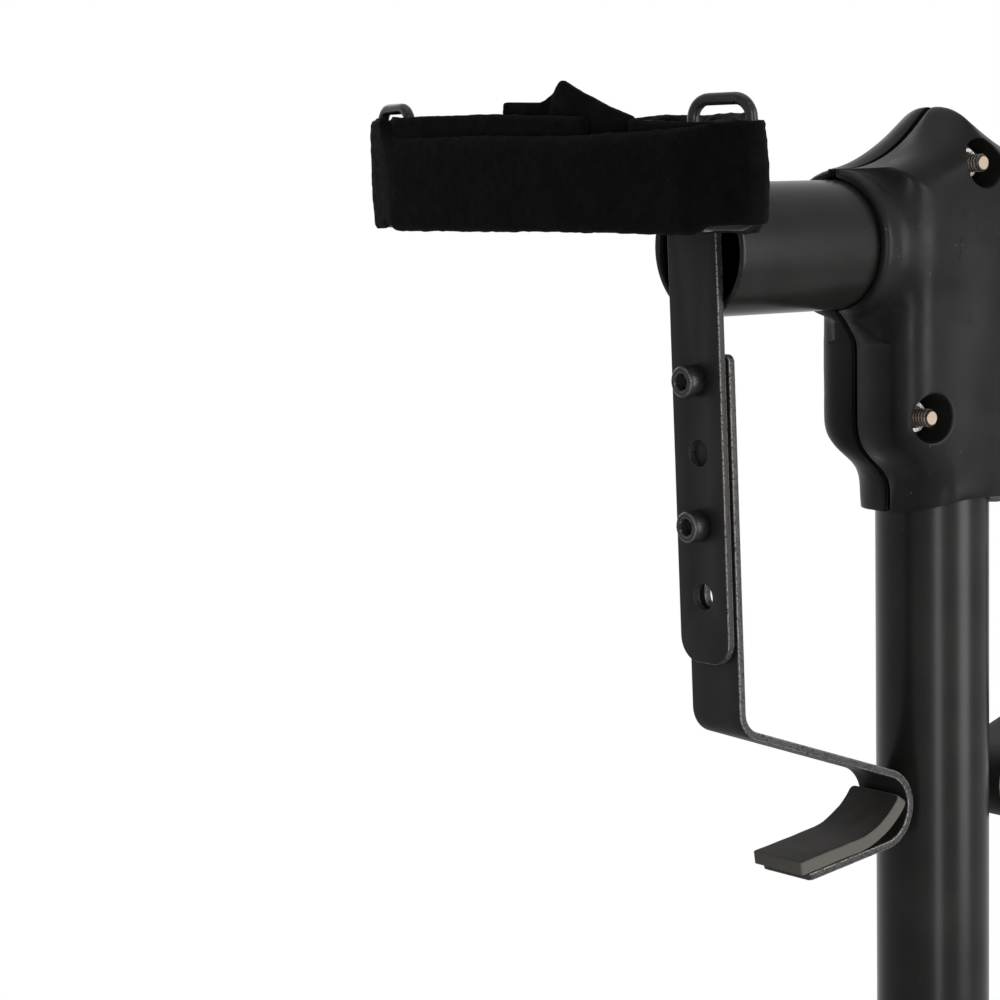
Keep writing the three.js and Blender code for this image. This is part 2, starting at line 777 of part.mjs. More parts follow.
// The strap runs round the outer legs of both rings, and one end of it lies behind at each side
function strap(front) {
  const wrap = ringWireRadius + fitGap + strapThickness / 2;
  const lapV = ringInnerLeg.y + strapLapInset;
  const touch = (place, turnSide) => {
    const from = place.clone().sub(ringOuterLeg);
    return from.angle() + turnSide * Math.acos(wrap / from.length());
  };
  const backLap = new THREE.Vector2(strapBackX, lapV);
  const frontLap = new THREE.Vector2(strapFrontX, lapV);
  const first = touch(frontLap, 1);
  const last = touch(backLap, -1) + (touch(backLap, -1) < first ? 2 * Math.PI : 0);
  const lap = [backLap];
  for (let i = 0; i <= strapWrapSteps; i++) {
    const turn = THREE.MathUtils.lerp(last, first, i / strapWrapSteps) % (2 * Math.PI);
    const swing = new THREE.Vector2(Math.cos(turn), Math.sin(turn));
    lap.push(ringOuterLeg.clone().addScaledVector(swing, wrap));
  }
  lap.push(frontLap);
  const other = lap.map((p) => new THREE.Vector2(p.x, -p.y)).reverse();
  const line = [
    new THREE.Vector2(strapBackX, strapFrontEndV),
    ...lap,
    new THREE.Vector2(strapFrontX + strapSag, 0),
    ...other,
    new THREE.Vector2(strapBackX, strapBackEndV),
  ].map((p) => new THREE.Vector2(p.x, front * p.y));
  const flat = plate(new THREE.Shape(stripOutline(line, strapThickness)), strapWidth);
  return flat.translate(0, 0, ringBottom + ringWireRadius + strapLift);
}

// Folded end of the strap, standing up behind its back layer
function strapTail(front) {
  const behind = strapBackX - strapThickness / 2 - tailThickness;
  const shape = new THREE.Shape();
  shape.moveTo(tailStartV, tailLowZ);
  shape.lineTo(tailStartV, tailEdgeZ);
  shape.lineTo(tailStartV + tailFlatShare * tailLength, tailEdgeZ);
  shape.lineTo(tailStartV + tailPeakShare * tailLength, tailPeakZ);
  shape.lineTo(tailStartV + tailLength, tailEndZ);
  shape.lineTo(tailStartV + tailLength, tailLowZ);
  const flat = acrossX(plate(shape, tailThickness + strapThickness / 2));
  if (front < 0) flat.scale(1, -1, 1);
  return flat.translate(behind, 0, 0);
}

// Holder in its own frame: +X points out from the mast, and front is the sign of Y at the front
function drumHolder(name, front) {
  return group(
    part(`upright_bar_${name}`, uprightBar(), looks.flatBar),
    part(`hook_bar_${name}`, hookBar(), looks.flatBar),
    part(`hook_pad_${name}`, hookPad(), looks.pad),
    part(`bar_spacer_${name}`, barSpacer(), looks.rubber),
    ...barFasteners(name),
    part(`yoke_band_${name}`, yokeBand(), looks.flatBar),
    part(`yoke_sleeve_${name}`, yokeSleeve(), looks.velvet),
    part(`ring_front_${name}`, wireRing(front), looks.wire),
    part(`ring_back_${name}`, wireRing(-front), looks.wire),
    part(`strap_${name}`, join(strap(front), strapTail(front)), looks.velvet),
  );
}

// A holder's frame tips about the outer face of its upright bar, at the height of the crossbar
const holderPlace = new THREE.Matrix4()
  .makeTranslation(barOuterX, 0, 0)
  .multiply(new THREE.Matrix4().makeRotationY(holderTilt))
  .multiply(new THREE.Matrix4().makeTranslation(-barOuterX, 0, 0));

// Crossbar, each end cut to the lean of the upright bar on it
function crossbar() {
  const tube = alongX(pipe(crossbarRadius, crossbarRadius - crossbarWall, 2 * barOuterX));
  const deep = crossbarRadius + overrun;
  const beyond = box(barInnerX - fitGap, barOuterX + overrun, -deep, deep, -deep, deep);
  beyond.applyMatrix4(holderPlace);
  const other = beyond.clone().rotateZ(Math.PI);
  return part('crossbar', cut(tube.translate(-barOuterX, 0, 0), beyond, other), looks.paint);
}

// Mast, from just under the crossbar down into the column
function mast() {
  const bottom = -crossbarRadius - fitGap - mastLength;
  const tube = pipe(mastRadius, mastRadius - mastWall, mastLength);
  return part('mast', tube.translate(0, 0, bottom), looks.paint);
}

const columnBottom = baseAxisHeight + baseTubeRadius + fitGap;
const collarTop = columnTop + collarLip;
const collarBottom = collarTop - collarHeight;
const earZ = (collarTop + collarBottom) / 2;

function column() {
  const tube = pipe(columnRadius, columnRadius - columnWall, columnTop - columnBottom);
  return part('column', tube.translate(0, 0, columnBottom), looks.paint);
}

// Collar over the column's mouth, split at the side of its ears
function clampCollar() {
  const body = rod(collarRadius, collarHeight, tubeSides).translate(0, 0, collarBottom);
  const ear = box(0, collarEarReach, -collarEarHalfWidth, collarEarHalfWidth,
    earZ - collarEarHalfHeight, earZ + collarEarHalfHeight);
  const seatTop = columnTop + fitGap + bushFlange + fitGap;
  const seat = rod(columnRadius + fitGap, seatTop - collarBottom + overrun, tubeSides);
  const mouth = rod(mastRadius + 2 * fitGap, collarHeight + 2 * overrun, tubeSides);
  const slit = box(0, collarEarReach + overrun, -collarSlit / 2, collarSlit / 2,
    collarBottom - overrun, collarTop + overrun);
  const hole = alongFront(rod(knobStudRadius + fitGap, 4 * collarEarHalfWidth, fastenerSides));
  return part('clamp_collar', cut(
    join(body, ear),
    seat.translate(0, 0, collarBottom - overrun),
    mouth.translate(0, 0, collarBottom - overrun),
    slit,
    hole.translate(knobStudX, 2 * collarEarHalfWidth, earZ),
  ), looks.cover);
}

// Plastic bush between the column and the mast, with a flange on the column's mouth
function guideBush() {
  const inner = mastRadius + fitGap;
  const outer = columnRadius - columnWall - fitGap;
  const profile = [
    new THREE.Vector2(inner, -bushLength),
    new THREE.Vector2(outer, -bushLength),
    new THREE.Vector2(outer, fitGap),
    new THREE.Vector2(columnRadius, fitGap),
    new THREE.Vector2(columnRadius, fitGap + bushFlange),
    new THREE.Vector2(inner, fitGap + bushFlange),
    new THREE.Vector2(inner, -bushLength),
  ];
  const shape = new THREE.LatheGeometry(profile, tubeSides).rotateX(Math.PI / 2);
  return part('guide_bush', shape.translate(0, 0, columnTop), looks.rubber);
}

// Lobed knob in front of the ears, with its stud through them and a nut behind
function clampKnob() {
  const shape = new THREE.Shape();
  for (let i = 0; i < knobSides; i++) {
    const turn = (2 * Math.PI * i) / knobSides;
    const radius = knobRadius * (1 + knobLobeShare * Math.cos(knobLobes * turn));
    if (i === 0) shape.moveTo(radius, 0);
    else shape.lineTo(radius * Math.cos(turn), radius * Math.sin(turn));
  }
  const head = bevelledPlate(shape, knobThickness, knobBevel).translate(0, 0, knobHubLength);
  const hub = rod(knobHubRadius, knobHubLength + knobBevel, hubSides);
  const studLength = 2 * collarEarHalfWidth + fitGap + 2 * nutHeight;
  const stud = rod(knobStudRadius, studLength + knobBevel, fastenerSides).translate(0, 0, -studLength);
  const whole = alongFront(join(head, hub, stud));
  const front = -collarEarHalfWidth - fitGap;
  return part('clamp_knob', whole.translate(knobStudX, front, earZ), looks.rubber);
}

function clampNut() {
  const outer = nutRadius * (knobStudRadius / boltRadius);
  const bore = rod(knobStudRadius + boltClearance, nutHeight + 2 * overrun, fastenerSides);
  const shape = cut(rod(outer, nutHeight, hexSides), bore.translate(0, 0, -overrun));
  const back = collarEarHalfWidth + fitGap + nutHeight;
  return part('clamp_nut', alongFront(shape).translate(knobStudX, back, earZ), looks.zincSteel);
}

// Base tube along X between the end covers
function baseTube() {
  const half = footSpread - baseTubeRadius - fitGap;
  const tube = alongX(pipe(baseTubeRadius, baseTubeRadius - baseTubeWall, 2 * half));
  return part('base_tube', tube.translate(-half, 0, baseAxisHeight), looks.paint);
}

function footTube(name, x) {
  const length = footLength - 2 * (bootWall + fitGap);
  const tube = alongFront(pipe(baseTubeRadius, baseTubeRadius - baseTubeWall, length));
  return part(name, tube.translate(x, length / 2, baseAxisHeight), looks.paint);
}

// Boot over the end of a foot tube, with a flat sole on the floor; end is the sign of Y
function footBoot(name, x, end) {
  const round = baseTubeRadius + bootWall;
  const shape = new THREE.Shape();
  shape.moveTo(-bootSoleHalfWidth, -baseAxisHeight);
  shape.lineTo(bootSoleHalfWidth, -baseAxisHeight);
  shape.lineTo(bootSoleHalfWidth, -baseAxisHeight + bootSoleHeight);
  shape.absarc(0, 0, round, 0, Math.PI, false);
  shape.lineTo(-bootSoleHalfWidth, -baseAxisHeight + bootSoleHeight);
  const block = new THREE.ExtrudeGeometry(shape, {
    depth: bootLength - 2 * bootBevel,
    bevelThickness: bootBevel,
    bevelSize: bootBevel,
    bevelOffset: -bootBevel,
    bevelSegments: 1,
    curveSegments: bootSteps,
  }).translate(0, 0, bootBevel);
  const bore = rod(baseTubeRadius + fitGap, bootLength - bootWall + overrun, tubeSides);
  const boot = alongFront(cut(block, bore.translate(0, 0, bootWall)));
  if (end < 0) boot.rotateZ(Math.PI);
  return part(name, boot.translate(x, end * (footLength / 2), baseAxisHeight), looks.rubber);
}

// Places of the covers of the base: the middle one upside down, one lying down at each end
const basis = (x, y, z) => new THREE.Matrix4().makeBasis(x, y, z);
const axisX = new THREE.Vector3(1, 0, 0);
const axisY = new THREE.Vector3(0, 1, 0);
const axisZ = new THREE.Vector3(0, 0, 1);

function baseCovers() {
  const centre = group(...boltedCover('base_cover', columnRadius));
  centre.rotation.y = Math.PI;
  centre.position.z = baseAxisHeight;
  const right = part('end_cover_right', oneCover(baseTubeRadius), looks.cover);
  right.applyMatrix4(basis(axisY, axisZ, axisX).setPosition(footSpread, 0, baseAxisHeight));
  const left = part('end_cover_left', oneCover(baseTubeRadius), looks.cover);
  const turned = basis(axisY.clone().negate(), axisZ, axisX.clone().negate());
  left.applyMatrix4(turned.setPosition(-footSpread, 0, baseAxisHeight));
  return [centre, right, left];
}

function base() {
  const boots = [-1, 1].flatMap((side) => [-1, 1].map((end) => footBoot(
    `foot_boot_${end < 0 ? 'front' : 'back'}_${side < 0 ? 'left' : 'right'}`, side * footSpread, end,
  )));
  return group(
    ...baseCovers(),
    baseTube(),
    footTube('foot_tube_left', -footSpread),
    footTube('foot_tube_right', footSpread),
    ...boots,
    column(),
    guideBush(),
    clampCollar(),
    clampKnob(),
    clampNut(),
  );
}

function placedHolder(name, front, turn) {
  const holder = drumHolder(name, front);
  holder.applyMatrix4(holderPlace);
  holder.applyMatrix4(new THREE.Matrix4().makeRotationZ(turn));
  return holder;
}

function head() {
  const all = group(
    mast(),
    ...boltedCover('top_cover', mastRadius),
    crossbar(),
    placedHolder('left', 1, Math.PI),
    placedHolder('right', -1, 0),
  );
  all.position.z = armHeight;
  return all;
}

const stand = group(base(), head());
export default stand;
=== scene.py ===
# Double drum stand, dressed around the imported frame.
# The modelling is in millimetres, the pieces are in metres.
import json
from math import (acos, asin, atan2, copysign, cos, dist, exp, hypot, pi, radians, sin, sqrt,
                  tan, tau)

import bmesh
import bpy
import numpy as np
from mathutils import Matrix, Vector, geometry, noise


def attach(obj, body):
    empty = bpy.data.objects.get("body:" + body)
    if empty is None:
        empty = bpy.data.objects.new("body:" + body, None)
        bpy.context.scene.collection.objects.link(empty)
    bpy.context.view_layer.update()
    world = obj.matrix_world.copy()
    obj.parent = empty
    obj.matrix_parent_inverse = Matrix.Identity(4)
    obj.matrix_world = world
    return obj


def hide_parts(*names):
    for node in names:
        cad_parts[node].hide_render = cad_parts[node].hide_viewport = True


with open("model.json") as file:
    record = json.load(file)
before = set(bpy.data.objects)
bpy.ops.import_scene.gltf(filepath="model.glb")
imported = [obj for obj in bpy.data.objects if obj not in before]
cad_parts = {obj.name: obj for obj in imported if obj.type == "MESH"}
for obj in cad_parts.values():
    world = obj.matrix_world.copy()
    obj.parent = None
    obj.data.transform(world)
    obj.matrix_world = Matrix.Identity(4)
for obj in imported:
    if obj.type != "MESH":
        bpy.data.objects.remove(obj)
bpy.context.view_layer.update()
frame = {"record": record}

MM = 0.001
RECORD = frame["record"]
BODY_OF = {node: body for body, names in RECORD["behaviour"]["bodies"].items() for node in names}
SLOT_OF = {row["node"]: row["material_slot"] for row in RECORD["subparts"]}

# Sizes in millimetres: the whole, the tubes and the moulded covers
ARM_HEIGHT = 850
BASE_HEIGHT = 52
FOOT_SPREAD = 260
FOOT_LENGTH = 520
FIT = 0.3
CROSSBAR_R, CROSSBAR_WALL = 21, 2
MAST_R, MAST_WALL, MAST_LENGTH = 19, 2, 560
COLUMN_R, COLUMN_WALL, COLUMN_TOP = 22.5, 1.5, 545
BASE_R, BASE_WALL = 21, 1.8
COLLAR_REACH, COLLAR_R, SLEEVE_WALL, WEB_WIDTH = 45, CROSSBAR_R + 3.5, 2.2, 17
PARTING, COVER_END, MOUTH_ARCH = 2, 89, 4.8
COVER_FORM = {-1: (25, 15, 11), 1: (22, 9, 13)}  # depth, wall and edge radius, by side of Y
PEAK_Z, PEAK_SIDE, PEAK_EDGE, HEEL = 45, 2.5, 27, 4
TRUNK_LOW, TAPER_FROM, COVER_BLEND = -32, -58, 7
# Screws and nuts
BOLT_R, HEAD_R, HEAD_H, SOCKET_R, NUT_R, NUT_H = 3, 5, 6, 2.9, 5.6, 3.6
FLANGE_R, FLANGE_H, THREAD_PITCH = 6.6, 1.4, 1.25
RECESS_R, RECESS_FLOOR, THREAD_OUT = 8, 12.2, 7.6
TOP_BOLT_Z, LOW_BOLT_Z, LOW_BOLT_GAP = 25.5, -56.3, 2
# Drum holders: bars, yoke, hook, pad, rings and strap
BAR_OUTER, BAR_T, BAR_W = 105.7, 2.5, 23
BAR_INNER = BAR_OUTER - BAR_T
SPACER_OUTER, SPACER_T, SPACER_R = BAR_INNER - FIT, 0.8, 6.5
HOOK_OUTER = SPACER_OUTER - SPACER_T - FIT
HOOK_MIDDLE = HOOK_OUTER - BAR_T / 2
HOLDER_TILT = radians(1.7)
YOKE_Z, YOKE_R, BAND_T, BAND_W = 24.1, 65.5, 3, 30
YOKE_X = BAR_OUTER + FIT + BAND_T + YOKE_R
YOKE_HALF = radians(78)
BAR_TOP = YOKE_Z + BAND_W / 2
BAR_HOLES = [-40.5 - 22.9 * k for k in range(4)]
HOOK_TOP = -32.4
HOOK_FALL, SHELF_FALL = radians(20.5), radians(6.5)
BAR_LOW, BAR_CORNER, BAR_HOLE_R = -130.6, 8, 4.3
HOOK_DROP, HOOK_BEND_R, HOOK_RUN, HOOK_CURL_R, SHELF_LENGTH = 113.9, 8.4, 63.6, 12.3, 35.8
SLOT_FROM, SLOT_TO, SLOT_R = 36.9, 113, 3.4
PAD_T, PAD_PAST_TIP, PAD_FLAT, PAD_CURL_R = 4.4, 3.2, 22.5, 30
PAD_TURN = radians(48.5)
SLEEVE_DEPTH, SLEEVE_HALF = 5.2, 18.2
WIRE_R, RING_INNER, RING_OUTER = 1.75, 68.9, 89.4
RING_BOTTOM, RING_TOP, BACK_RING_RISE = 11.5, 46.2, 1.4
STRAP_T, STRAP_W = 2.4, 29
# Clamp and boots
COLLAR_TOP, CLAMP_R, CLAMP_H = 557, 29, 46
EAR_REACH, EAR_HALF, EAR_RISE, SLIT = 44, 13, 12, 1.5
KNOB_X, STUD_R = 35.5, 4
BOOT_L, BOOT_WALL = 62, 5
# Steps of a bend and the edge of a cut tube
BEND_STEP, TUBE_EDGE = radians(4.5), 0.45


# Camera at the photograph's place
CAMERA_TURN, CAMERA_PITCH, CAMERA_ROLL = (radians(angle) for angle in (-37.21, 6.43, -1.07))
CAMERA_PLACE, CAMERA_LENS = (-0.70579, -0.68947, 0.87594), 105.23


def link(name, data):
    made = bpy.data.objects.new(name, data)
    bpy.context.scene.collection.objects.link(made)
    return made


def add_camera():
    level = cos(CAMERA_PITCH)
    forward = Vector((-sin(CAMERA_TURN) * level, cos(CAMERA_TURN) * level,
                      -sin(CAMERA_PITCH)))
    flat = forward.cross(Vector((0, 0, 1))).normalized()
    upright = flat.cross(forward)
    right = flat * cos(CAMERA_ROLL) + upright * sin(CAMERA_ROLL)
    up = upright * cos(CAMERA_ROLL) - flat * sin(CAMERA_ROLL)
    data = bpy.data.cameras.new("camera")
    data.lens, data.sensor_width = CAMERA_LENS, 36
    data.clip_start, data.clip_end = 0.05, 60
    camera = link("camera", data)
    turn = Matrix((right, up, -forward)).transposed().to_4x4()
    camera.matrix_world = Matrix.Translation(CAMERA_PLACE) @ turn
    bpy.context.scene.camera = camera


add_camera()


# Materials
def feed(node, inputs):
    """Sets inputs of a shader node, each to a value or to the socket that feeds it."""
    for key, value in inputs.items():
        if isinstance(value, bpy.types.NodeSocket):
            node.id_data.links.new(value, node.inputs[key])
        else:
            node.inputs[key].default_value = value


def add_node(tree, kind, inputs=None, output=0, **settings):
    """Adds a shader node and gives one of its outputs."""
    made = tree.nodes.new("ShaderNode" + kind)
    for key, value in settings.items():
        setattr(made, key, value)
    feed(made, inputs or {})
    return made.outputs[output]


def grain(tree, scale, detail=3, rough=0.5, stretch=None):
    """Noise in the piece's own millimetres, so scale is bumps per millimetre."""
    place = add_node(tree, "TexCoord", output="Object")
    if stretch:
        place = add_node(tree, "Mapping", {"Vector": place, "Scale": stretch})
    spots = {"Vector": place, "Scale": scale * 1000, "Detail": detail, "Roughness": rough}
    return add_node(tree, "TexNoise", spots)


def ramp(tree, value, low, high, start=0.0, end=1.0):
    limits = {"Value": value, "From Min": low, "From Max": high, "To Min": start, "To Max": end}
    return add_node(tree, "MapRange", limits)


def math_node(tree, operation, a, b):
    return add_node(tree, "Math", {0: a, 1: b}, operation=operation)


def mixed(tree, share, *ends):
    """A mix of two colours, each a socket, a grey, or red, green and blue."""
    inputs = {"Factor": share}
    for key, end in zip((6, 7), ends):
        tone = (end,) * 3 if isinstance(end, float) else end
        inputs[key] = tone if isinstance(tone, bpy.types.NodeSocket) else (*tone, 1)
    return add_node(tree, "Mix", inputs, 2, data_type="RGBA")


def new_material(name):
    material = bpy.data.materials.new(name)
    material.use_nodes = True
    return material, material.node_tree, material.node_tree.nodes["Principled BSDF"]


LOOKS = {}


def finish(name, dark, light, rough, specular=0.5, metal=0.0, fixed=None, patch=0.05, bumps=(),
           specks=None, worn=None, rub=None):
    """A procedural finish: two tones in patches, fine bumps, dust specks, and bare or cut faces."""
    LOOKS[name], tree, shader = new_material(name)
    feed(shader, {"Specular IOR Level": specular, "Metallic": metal, **(fixed or {})})
    colour = mixed(tree, ramp(tree, grain(tree, patch), 0.35, 0.65), dark, light)
    roughness = ramp(tree, grain(tree, patch * 3), 0.3, 0.7, *rough)
    if specks:
        scale, least, tone = specks
        dots = ramp(tree, grain(tree, scale, 1), least, least + 0.05)
        dusty = ramp(tree, grain(tree, 0.03), 0.4, 0.7)
        colour = mixed(tree, math_node(tree, "MULTIPLY", dots, dusty), colour, tone)
    if rub:
        scale, least, share = rub
        streaks = grain(tree, scale, 4, 0.6, (1.0, 1.0, 0.25))
        marks = ramp(tree, streaks, least, least + 0.12, 0.0, share)
        roughness = math_node(tree, "SUBTRACT", roughness, marks)
    if worn:
        tone, bare, metal_to, scale, least = worn
        mark = add_node(tree, "Attribute", output="Fac", attribute_name="wear")
        broken = ramp(tree, grain(tree, scale, 4, 0.65), least, least + 0.08)
        share = math_node(tree, "MULTIPLY", mark, broken)
        colour = mixed(tree, share, colour, tone)
        roughness = add_node(tree, "Mix", {"Factor": share, 2: sum(rough) / 2, 3: bare})
        feed(shader, {"Metallic": ramp(tree, share, 0.0, 1.0, metal, metal_to)})
    below = {}
    for scale, height, strength in bumps:
        bump = {"Height": grain(tree, scale), "Distance": height * MM, "Strength": strength}
        below = {"Normal": add_node(tree, "Bump", bump | below)}
    feed(shader, {"Base Color": colour, "Roughness": roughness, **below})


BARE = (0.14, 0.135, 0.13)
finish("painted_tube", (0.0075, 0.0072, 0.0068), (0.0115, 0.011, 0.0105), (0.24, 0.31), 0.12,
       bumps=((1.6, 0.02, 0.25),), specks=(1.4, 0.76, 0.07), worn=(BARE, 0.4, 0.5, 0.28, 0.58))
finish("flat_steel", (0.0090, 0.0083, 0.0083), (0.0145, 0.0134, 0.0132), (0.42, 0.55), 0.12,
       bumps=((2.2, 0.03, 0.3),), specks=(1.6, 0.74, 0.06), worn=(BARE, 0.45, 0.5, 1.5, 0.42))
finish("cover_plastic", (0.0065, 0.0062, 0.006), (0.0125, 0.012, 0.0116), (0.32, 0.44), 0.07,
       patch=0.035, bumps=((0.12, 0.25, 0.3), (2.5, 0.02, 0.25)),
       specks=(1.0, 0.76, (0.12, 0.115, 0.11)), rub=(0.25, 0.6, 0.12))
finish("black_screw", (0.012, 0.012, 0.013), (0.02, 0.02, 0.021), (0.32, 0.42), 0.2, 0.2,
       patch=0.4, bumps=((3.0, 0.02, 0.3),), worn=((0.11, 0.105, 0.10), 0.35, 0.7, 0.8, 0.4))
finish("aged_thread", (0.010, 0.008, 0.006), (0.030, 0.022, 0.017), (0.4, 0.55), 0.2, 0.3,
       patch=0.5, bumps=((4.0, 0.02, 0.3),), worn=((0.26, 0.205, 0.16), 0.4, 0.7, 2.0, 0.3))
finish("bright_nut", (0.42, 0.42, 0.41), (0.62, 0.62, 0.60), (0.22, 0.34), metal=0.95, patch=0.4,
       bumps=((4.0, 0.01, 0.2),))
finish("black_velvet", (0.0012, 0.0011, 0.0012), (0.0024, 0.0022, 0.0023), (0.85, 1.0), 0.05,
       fixed={"Sheen Weight": 0.012, "Sheen Roughness": 0.45, "Sheen Tint": (0.8, 0.78, 0.8, 1)},
       patch=0.12, bumps=((0.5, 0.5, 0.5), (2.4, 0.35, 0.8)), specks=(0.9, 0.78, 0.03))
finish("hook_padding", (0.011, 0.0095, 0.0085), (0.019, 0.0165, 0.015), (0.6, 0.75), 0.15,
       patch=0.09, bumps=((1.2, 0.06, 0.35), (4.0, 0.03, 0.3)),
       specks=(0.8, 0.76, (0.20, 0.19, 0.18)), worn=((0.075, 0.070, 0.063), 0.9, 0.0, 1.2, 0.25))
finish("black_rubber", (0.012, 0.012, 0.012), (0.020, 0.020, 0.020), (0.7, 0.85), 0.2,
       bumps=((1.8, 0.05, 0.35),), specks=(0.8, 0.74, 0.08))
finish("black_nylon", (0.014, 0.014, 0.014), (0.022, 0.022, 0.022), (0.5, 0.62), 0.2,
       bumps=((2.6, 0.03, 0.35),))
finish("painted_wire", (0.008, 0.0075, 0.0072), (0.013, 0.012, 0.0115), (0.24, 0.34), 0.2,
       patch=0.3, bumps=((1.4, 0.03, 0.3),), worn=(BARE, 0.4, 0.5, 0.9, 0.6))


# Small helps
def unit(value):
    """The value, kept between 0 and 1."""
    return min(1.0, max(0.0, value))


def norms(rows):
    return np.linalg.norm(rows, axis=1)


def shift(x, y, z):
    return Matrix.Translation((x, y, z))


def spin(angle, axis):
    return Matrix.Rotation(angle, 4, axis)


def ripple(x, y, z):
    return noise.noise(Vector((x, y, z)))


def facing(angle):
    return Vector((cos(angle), sin(angle)))


def left_of(angle):
    return Vector((-sin(angle), cos(angle)))


# Flat lines and shells
def arc(centre, radius, start, end, steps):
    turns = [start + (end - start) * k / steps for k in range(steps + 1)]
    return [(centre[0] + radius * cos(t), centre[1] + radius * sin(t)) for t in turns]


def box(x0, x1, y0, y1):
    return [(x0, y0), (x1, y0), (x1, y1), (x0, y1)]


def rounded(points, radius, steps=4, closed=True):
    """The same line with its corners turned into arcs, of one radius or one for each corner."""
    made, count = [], len(points)
    radii = radius if isinstance(radius, list) else [radius] * count
    for i, (point, wanted) in enumerate(zip(points, radii)):
        if wanted == 0 or (not closed and i in (0, count - 1)):
            made.append(tuple(point))
            continue
        corner = Vector(point)
        back, on = (Vector(points[k % count]) - corner for k in (i - 1, i + 1))
        half = back.angle(on) / 2
        reach = min(wanted / tan(half), 0.49 * back.length, 0.49 * on.length)
        true = reach * tan(half)
        back.normalize()
        on.normalize()
        centre = corner + (back + on).normalized() * (true / sin(half))
        first, last = (corner + way * reach - centre for way in (back, on))
        start = atan2(first.y, first.x)
        sweep = (atan2(last.y, last.x) - start + pi) % tau - pi
        made += arc(centre, true, start, start + sweep, steps)
    return made


def inset(loop, depth):
    """A closed loop moved to the left of its run."""
    points = np.array(loop, float)
    runs = np.roll(points, -1, 0) - points
    runs /= norms(runs)[:, None]
    left = np.stack([-runs[:, 1], runs[:, 0]], 1)
    before = np.roll(left, 1, 0)
    return points + depth * (left + before) / (1 + (left * before).sum(1))[:, None]


def new_shell():
    shell = bmesh.new()
    shell.faces.layers.float.new("wear")
    return shell


def skin(shell, rings, loop=False):
    """Faces between rings of as many points each, and over the ends of an open row of rings."""
    rows = [[shell.verts.new(point) for point in ring] for ring in rings]
    count = len(rows[0])
    for a, b in list(zip(rows, rows[1:])) + ([(rows[-1], rows[0])] if loop else []):
        for k in range(count):
            j = (k + 1) % count
            shell.faces.new((a[k], a[j], b[j], b[k]))
    if not loop:
        shell.faces.new(rows[0])
        shell.faces.new(rows[-1])


def wear_faces(shell, amount):
    layer = shell.faces.layers.float["wear"]
    for face in shell.faces:
        face[layer] = amount(face.calc_center_median())


def turned(shell, profile, sides, loop=True):
    """A profile of (radius, height) turned about Z; a radius may be a function of the angle."""
    rings = []
    for radius, height in profile:
        ring = []
        for k in range(sides):
            turn = tau * k / sides
            reach = radius(turn) if callable(radius) else radius
            ring.append((reach * cos(turn), reach * sin(turn), height))
        rings.append(ring)
    skin(shell, rings, loop=loop)


def held_by(points, starts, ends):
    """Which points lie inside closed lines, by the count of edges to one side of each."""
    inside = np.zeros(len(points), bool)
    for a, b in zip(starts, ends):
        if a[1] != b[1]:
            crosses = (a[1] > points[:, 1]) != (b[1] > points[:, 1])
            at = a[0] + (points[:, 1] - a[1]) * (b[0] - a[0]) / (b[1] - a[1])
            inside ^= crosses & (points[:, 0] < at)
    return inside


def triangles(loops, extra=()):
    """Triangles over the area inside the first loop and outside the others."""
    points = [tuple(p) for p in [*(p for loop in loops for p in loop), *extra]]
    edges = []
    for loop in loops:
        first, count = len(edges), len(loop)
        edges += [(first + k, first + (k + 1) % count) for k in range(count)]
    flat = [Vector(p) for p in points]
    _, _, faces, origin, _, _ = geometry.delaunay_2d_cdt(flat, edges, [], 0, 1e-6)
    place = [old[0] if old else None for old in origin]
    faces = [[place[v] for v in face] for face in faces]
    faces = [face for face in faces if None not in face and len(set(face)) == 3]
    table = np.array(points)
    middles = table[np.array(faces)].mean(1)
    inside = held_by(middles, table[[a for a, _ in edges]], table[[b for _, b in edges]])
    return [face for face, kept in zip(faces, inside) if kept]


def plate(shell, loops, low, high, edge, steps=2, side_wear=0.0, extra=()):
    """A flat plate with rounded edges; its outer loop runs anticlockwise, its holes clockwise."""
    layer = shell.faces.layers.float["wear"]
    bottoms, tops = [], []
    for loop in loops:
        rows = []
        for k in range(2 * steps + 2):
            turn = pi / 2 * min(k, 2 * steps + 1 - k) / steps
            lift = edge * (1 - cos(turn))
            height = low + lift if k <= steps else high - lift
            place = inset(loop, edge * (1 - sin(turn)))
            rows.append([shell.verts.new((x, y, height)) for x, y in place])
        for k, (a, b) in enumerate(zip(rows, rows[1:])):
            for i in range(len(a)):
                j = (i + 1) % len(a)
                face = shell.faces.new((a[i], a[j], b[j], b[i]))
                face[layer] = side_wear if k == steps else 1.0
        bottoms += rows[0]
        tops += rows[-1]
    flats = [inset(loop, edge) for loop in loops]
    for flat, height in ((bottoms, low), (tops, high)):
        flat += [shell.verts.new((x, y, height)) for x, y in extra]
    for face in triangles(flats, extra):
        shell.faces.new([bottoms[k] for k in face])
        shell.faces.new([tops[k] for k in face])


def walk(start, heading, moves):
    """A bent line: a function from distance to point and heading, its stops and its length."""
    runs, at, angle, done = [], Vector(start), heading, 0.0
    for length, turn in moves:
        runs.append((done, length, at.copy(), angle, turn))
        if turn:
            radius = length / turn
            centre = at + radius * left_of(angle)
            angle += turn
            at = centre - radius * left_of(angle)
        else:
            at = at + length * facing(angle)
        done += length

    def place(distance):
        reached = [run for run in runs if run[0] <= max(distance, 0) + 1e-9]
        begin, length, origin, first, turn = reached[-1]
        along = distance - begin
        if not turn:
            return origin + along * facing(first), first
        radius = length / turn
        now = first + along / radius
        return origin + radius * left_of(first) - radius * left_of(now), now

    stops = []
    for begin, length, _, _, turn in runs:
        parts = max(1, round(abs(turn) / BEND_STEP))
        stops += [begin + length * k / parts for k in range(parts)]
    return place, stops[1:], done


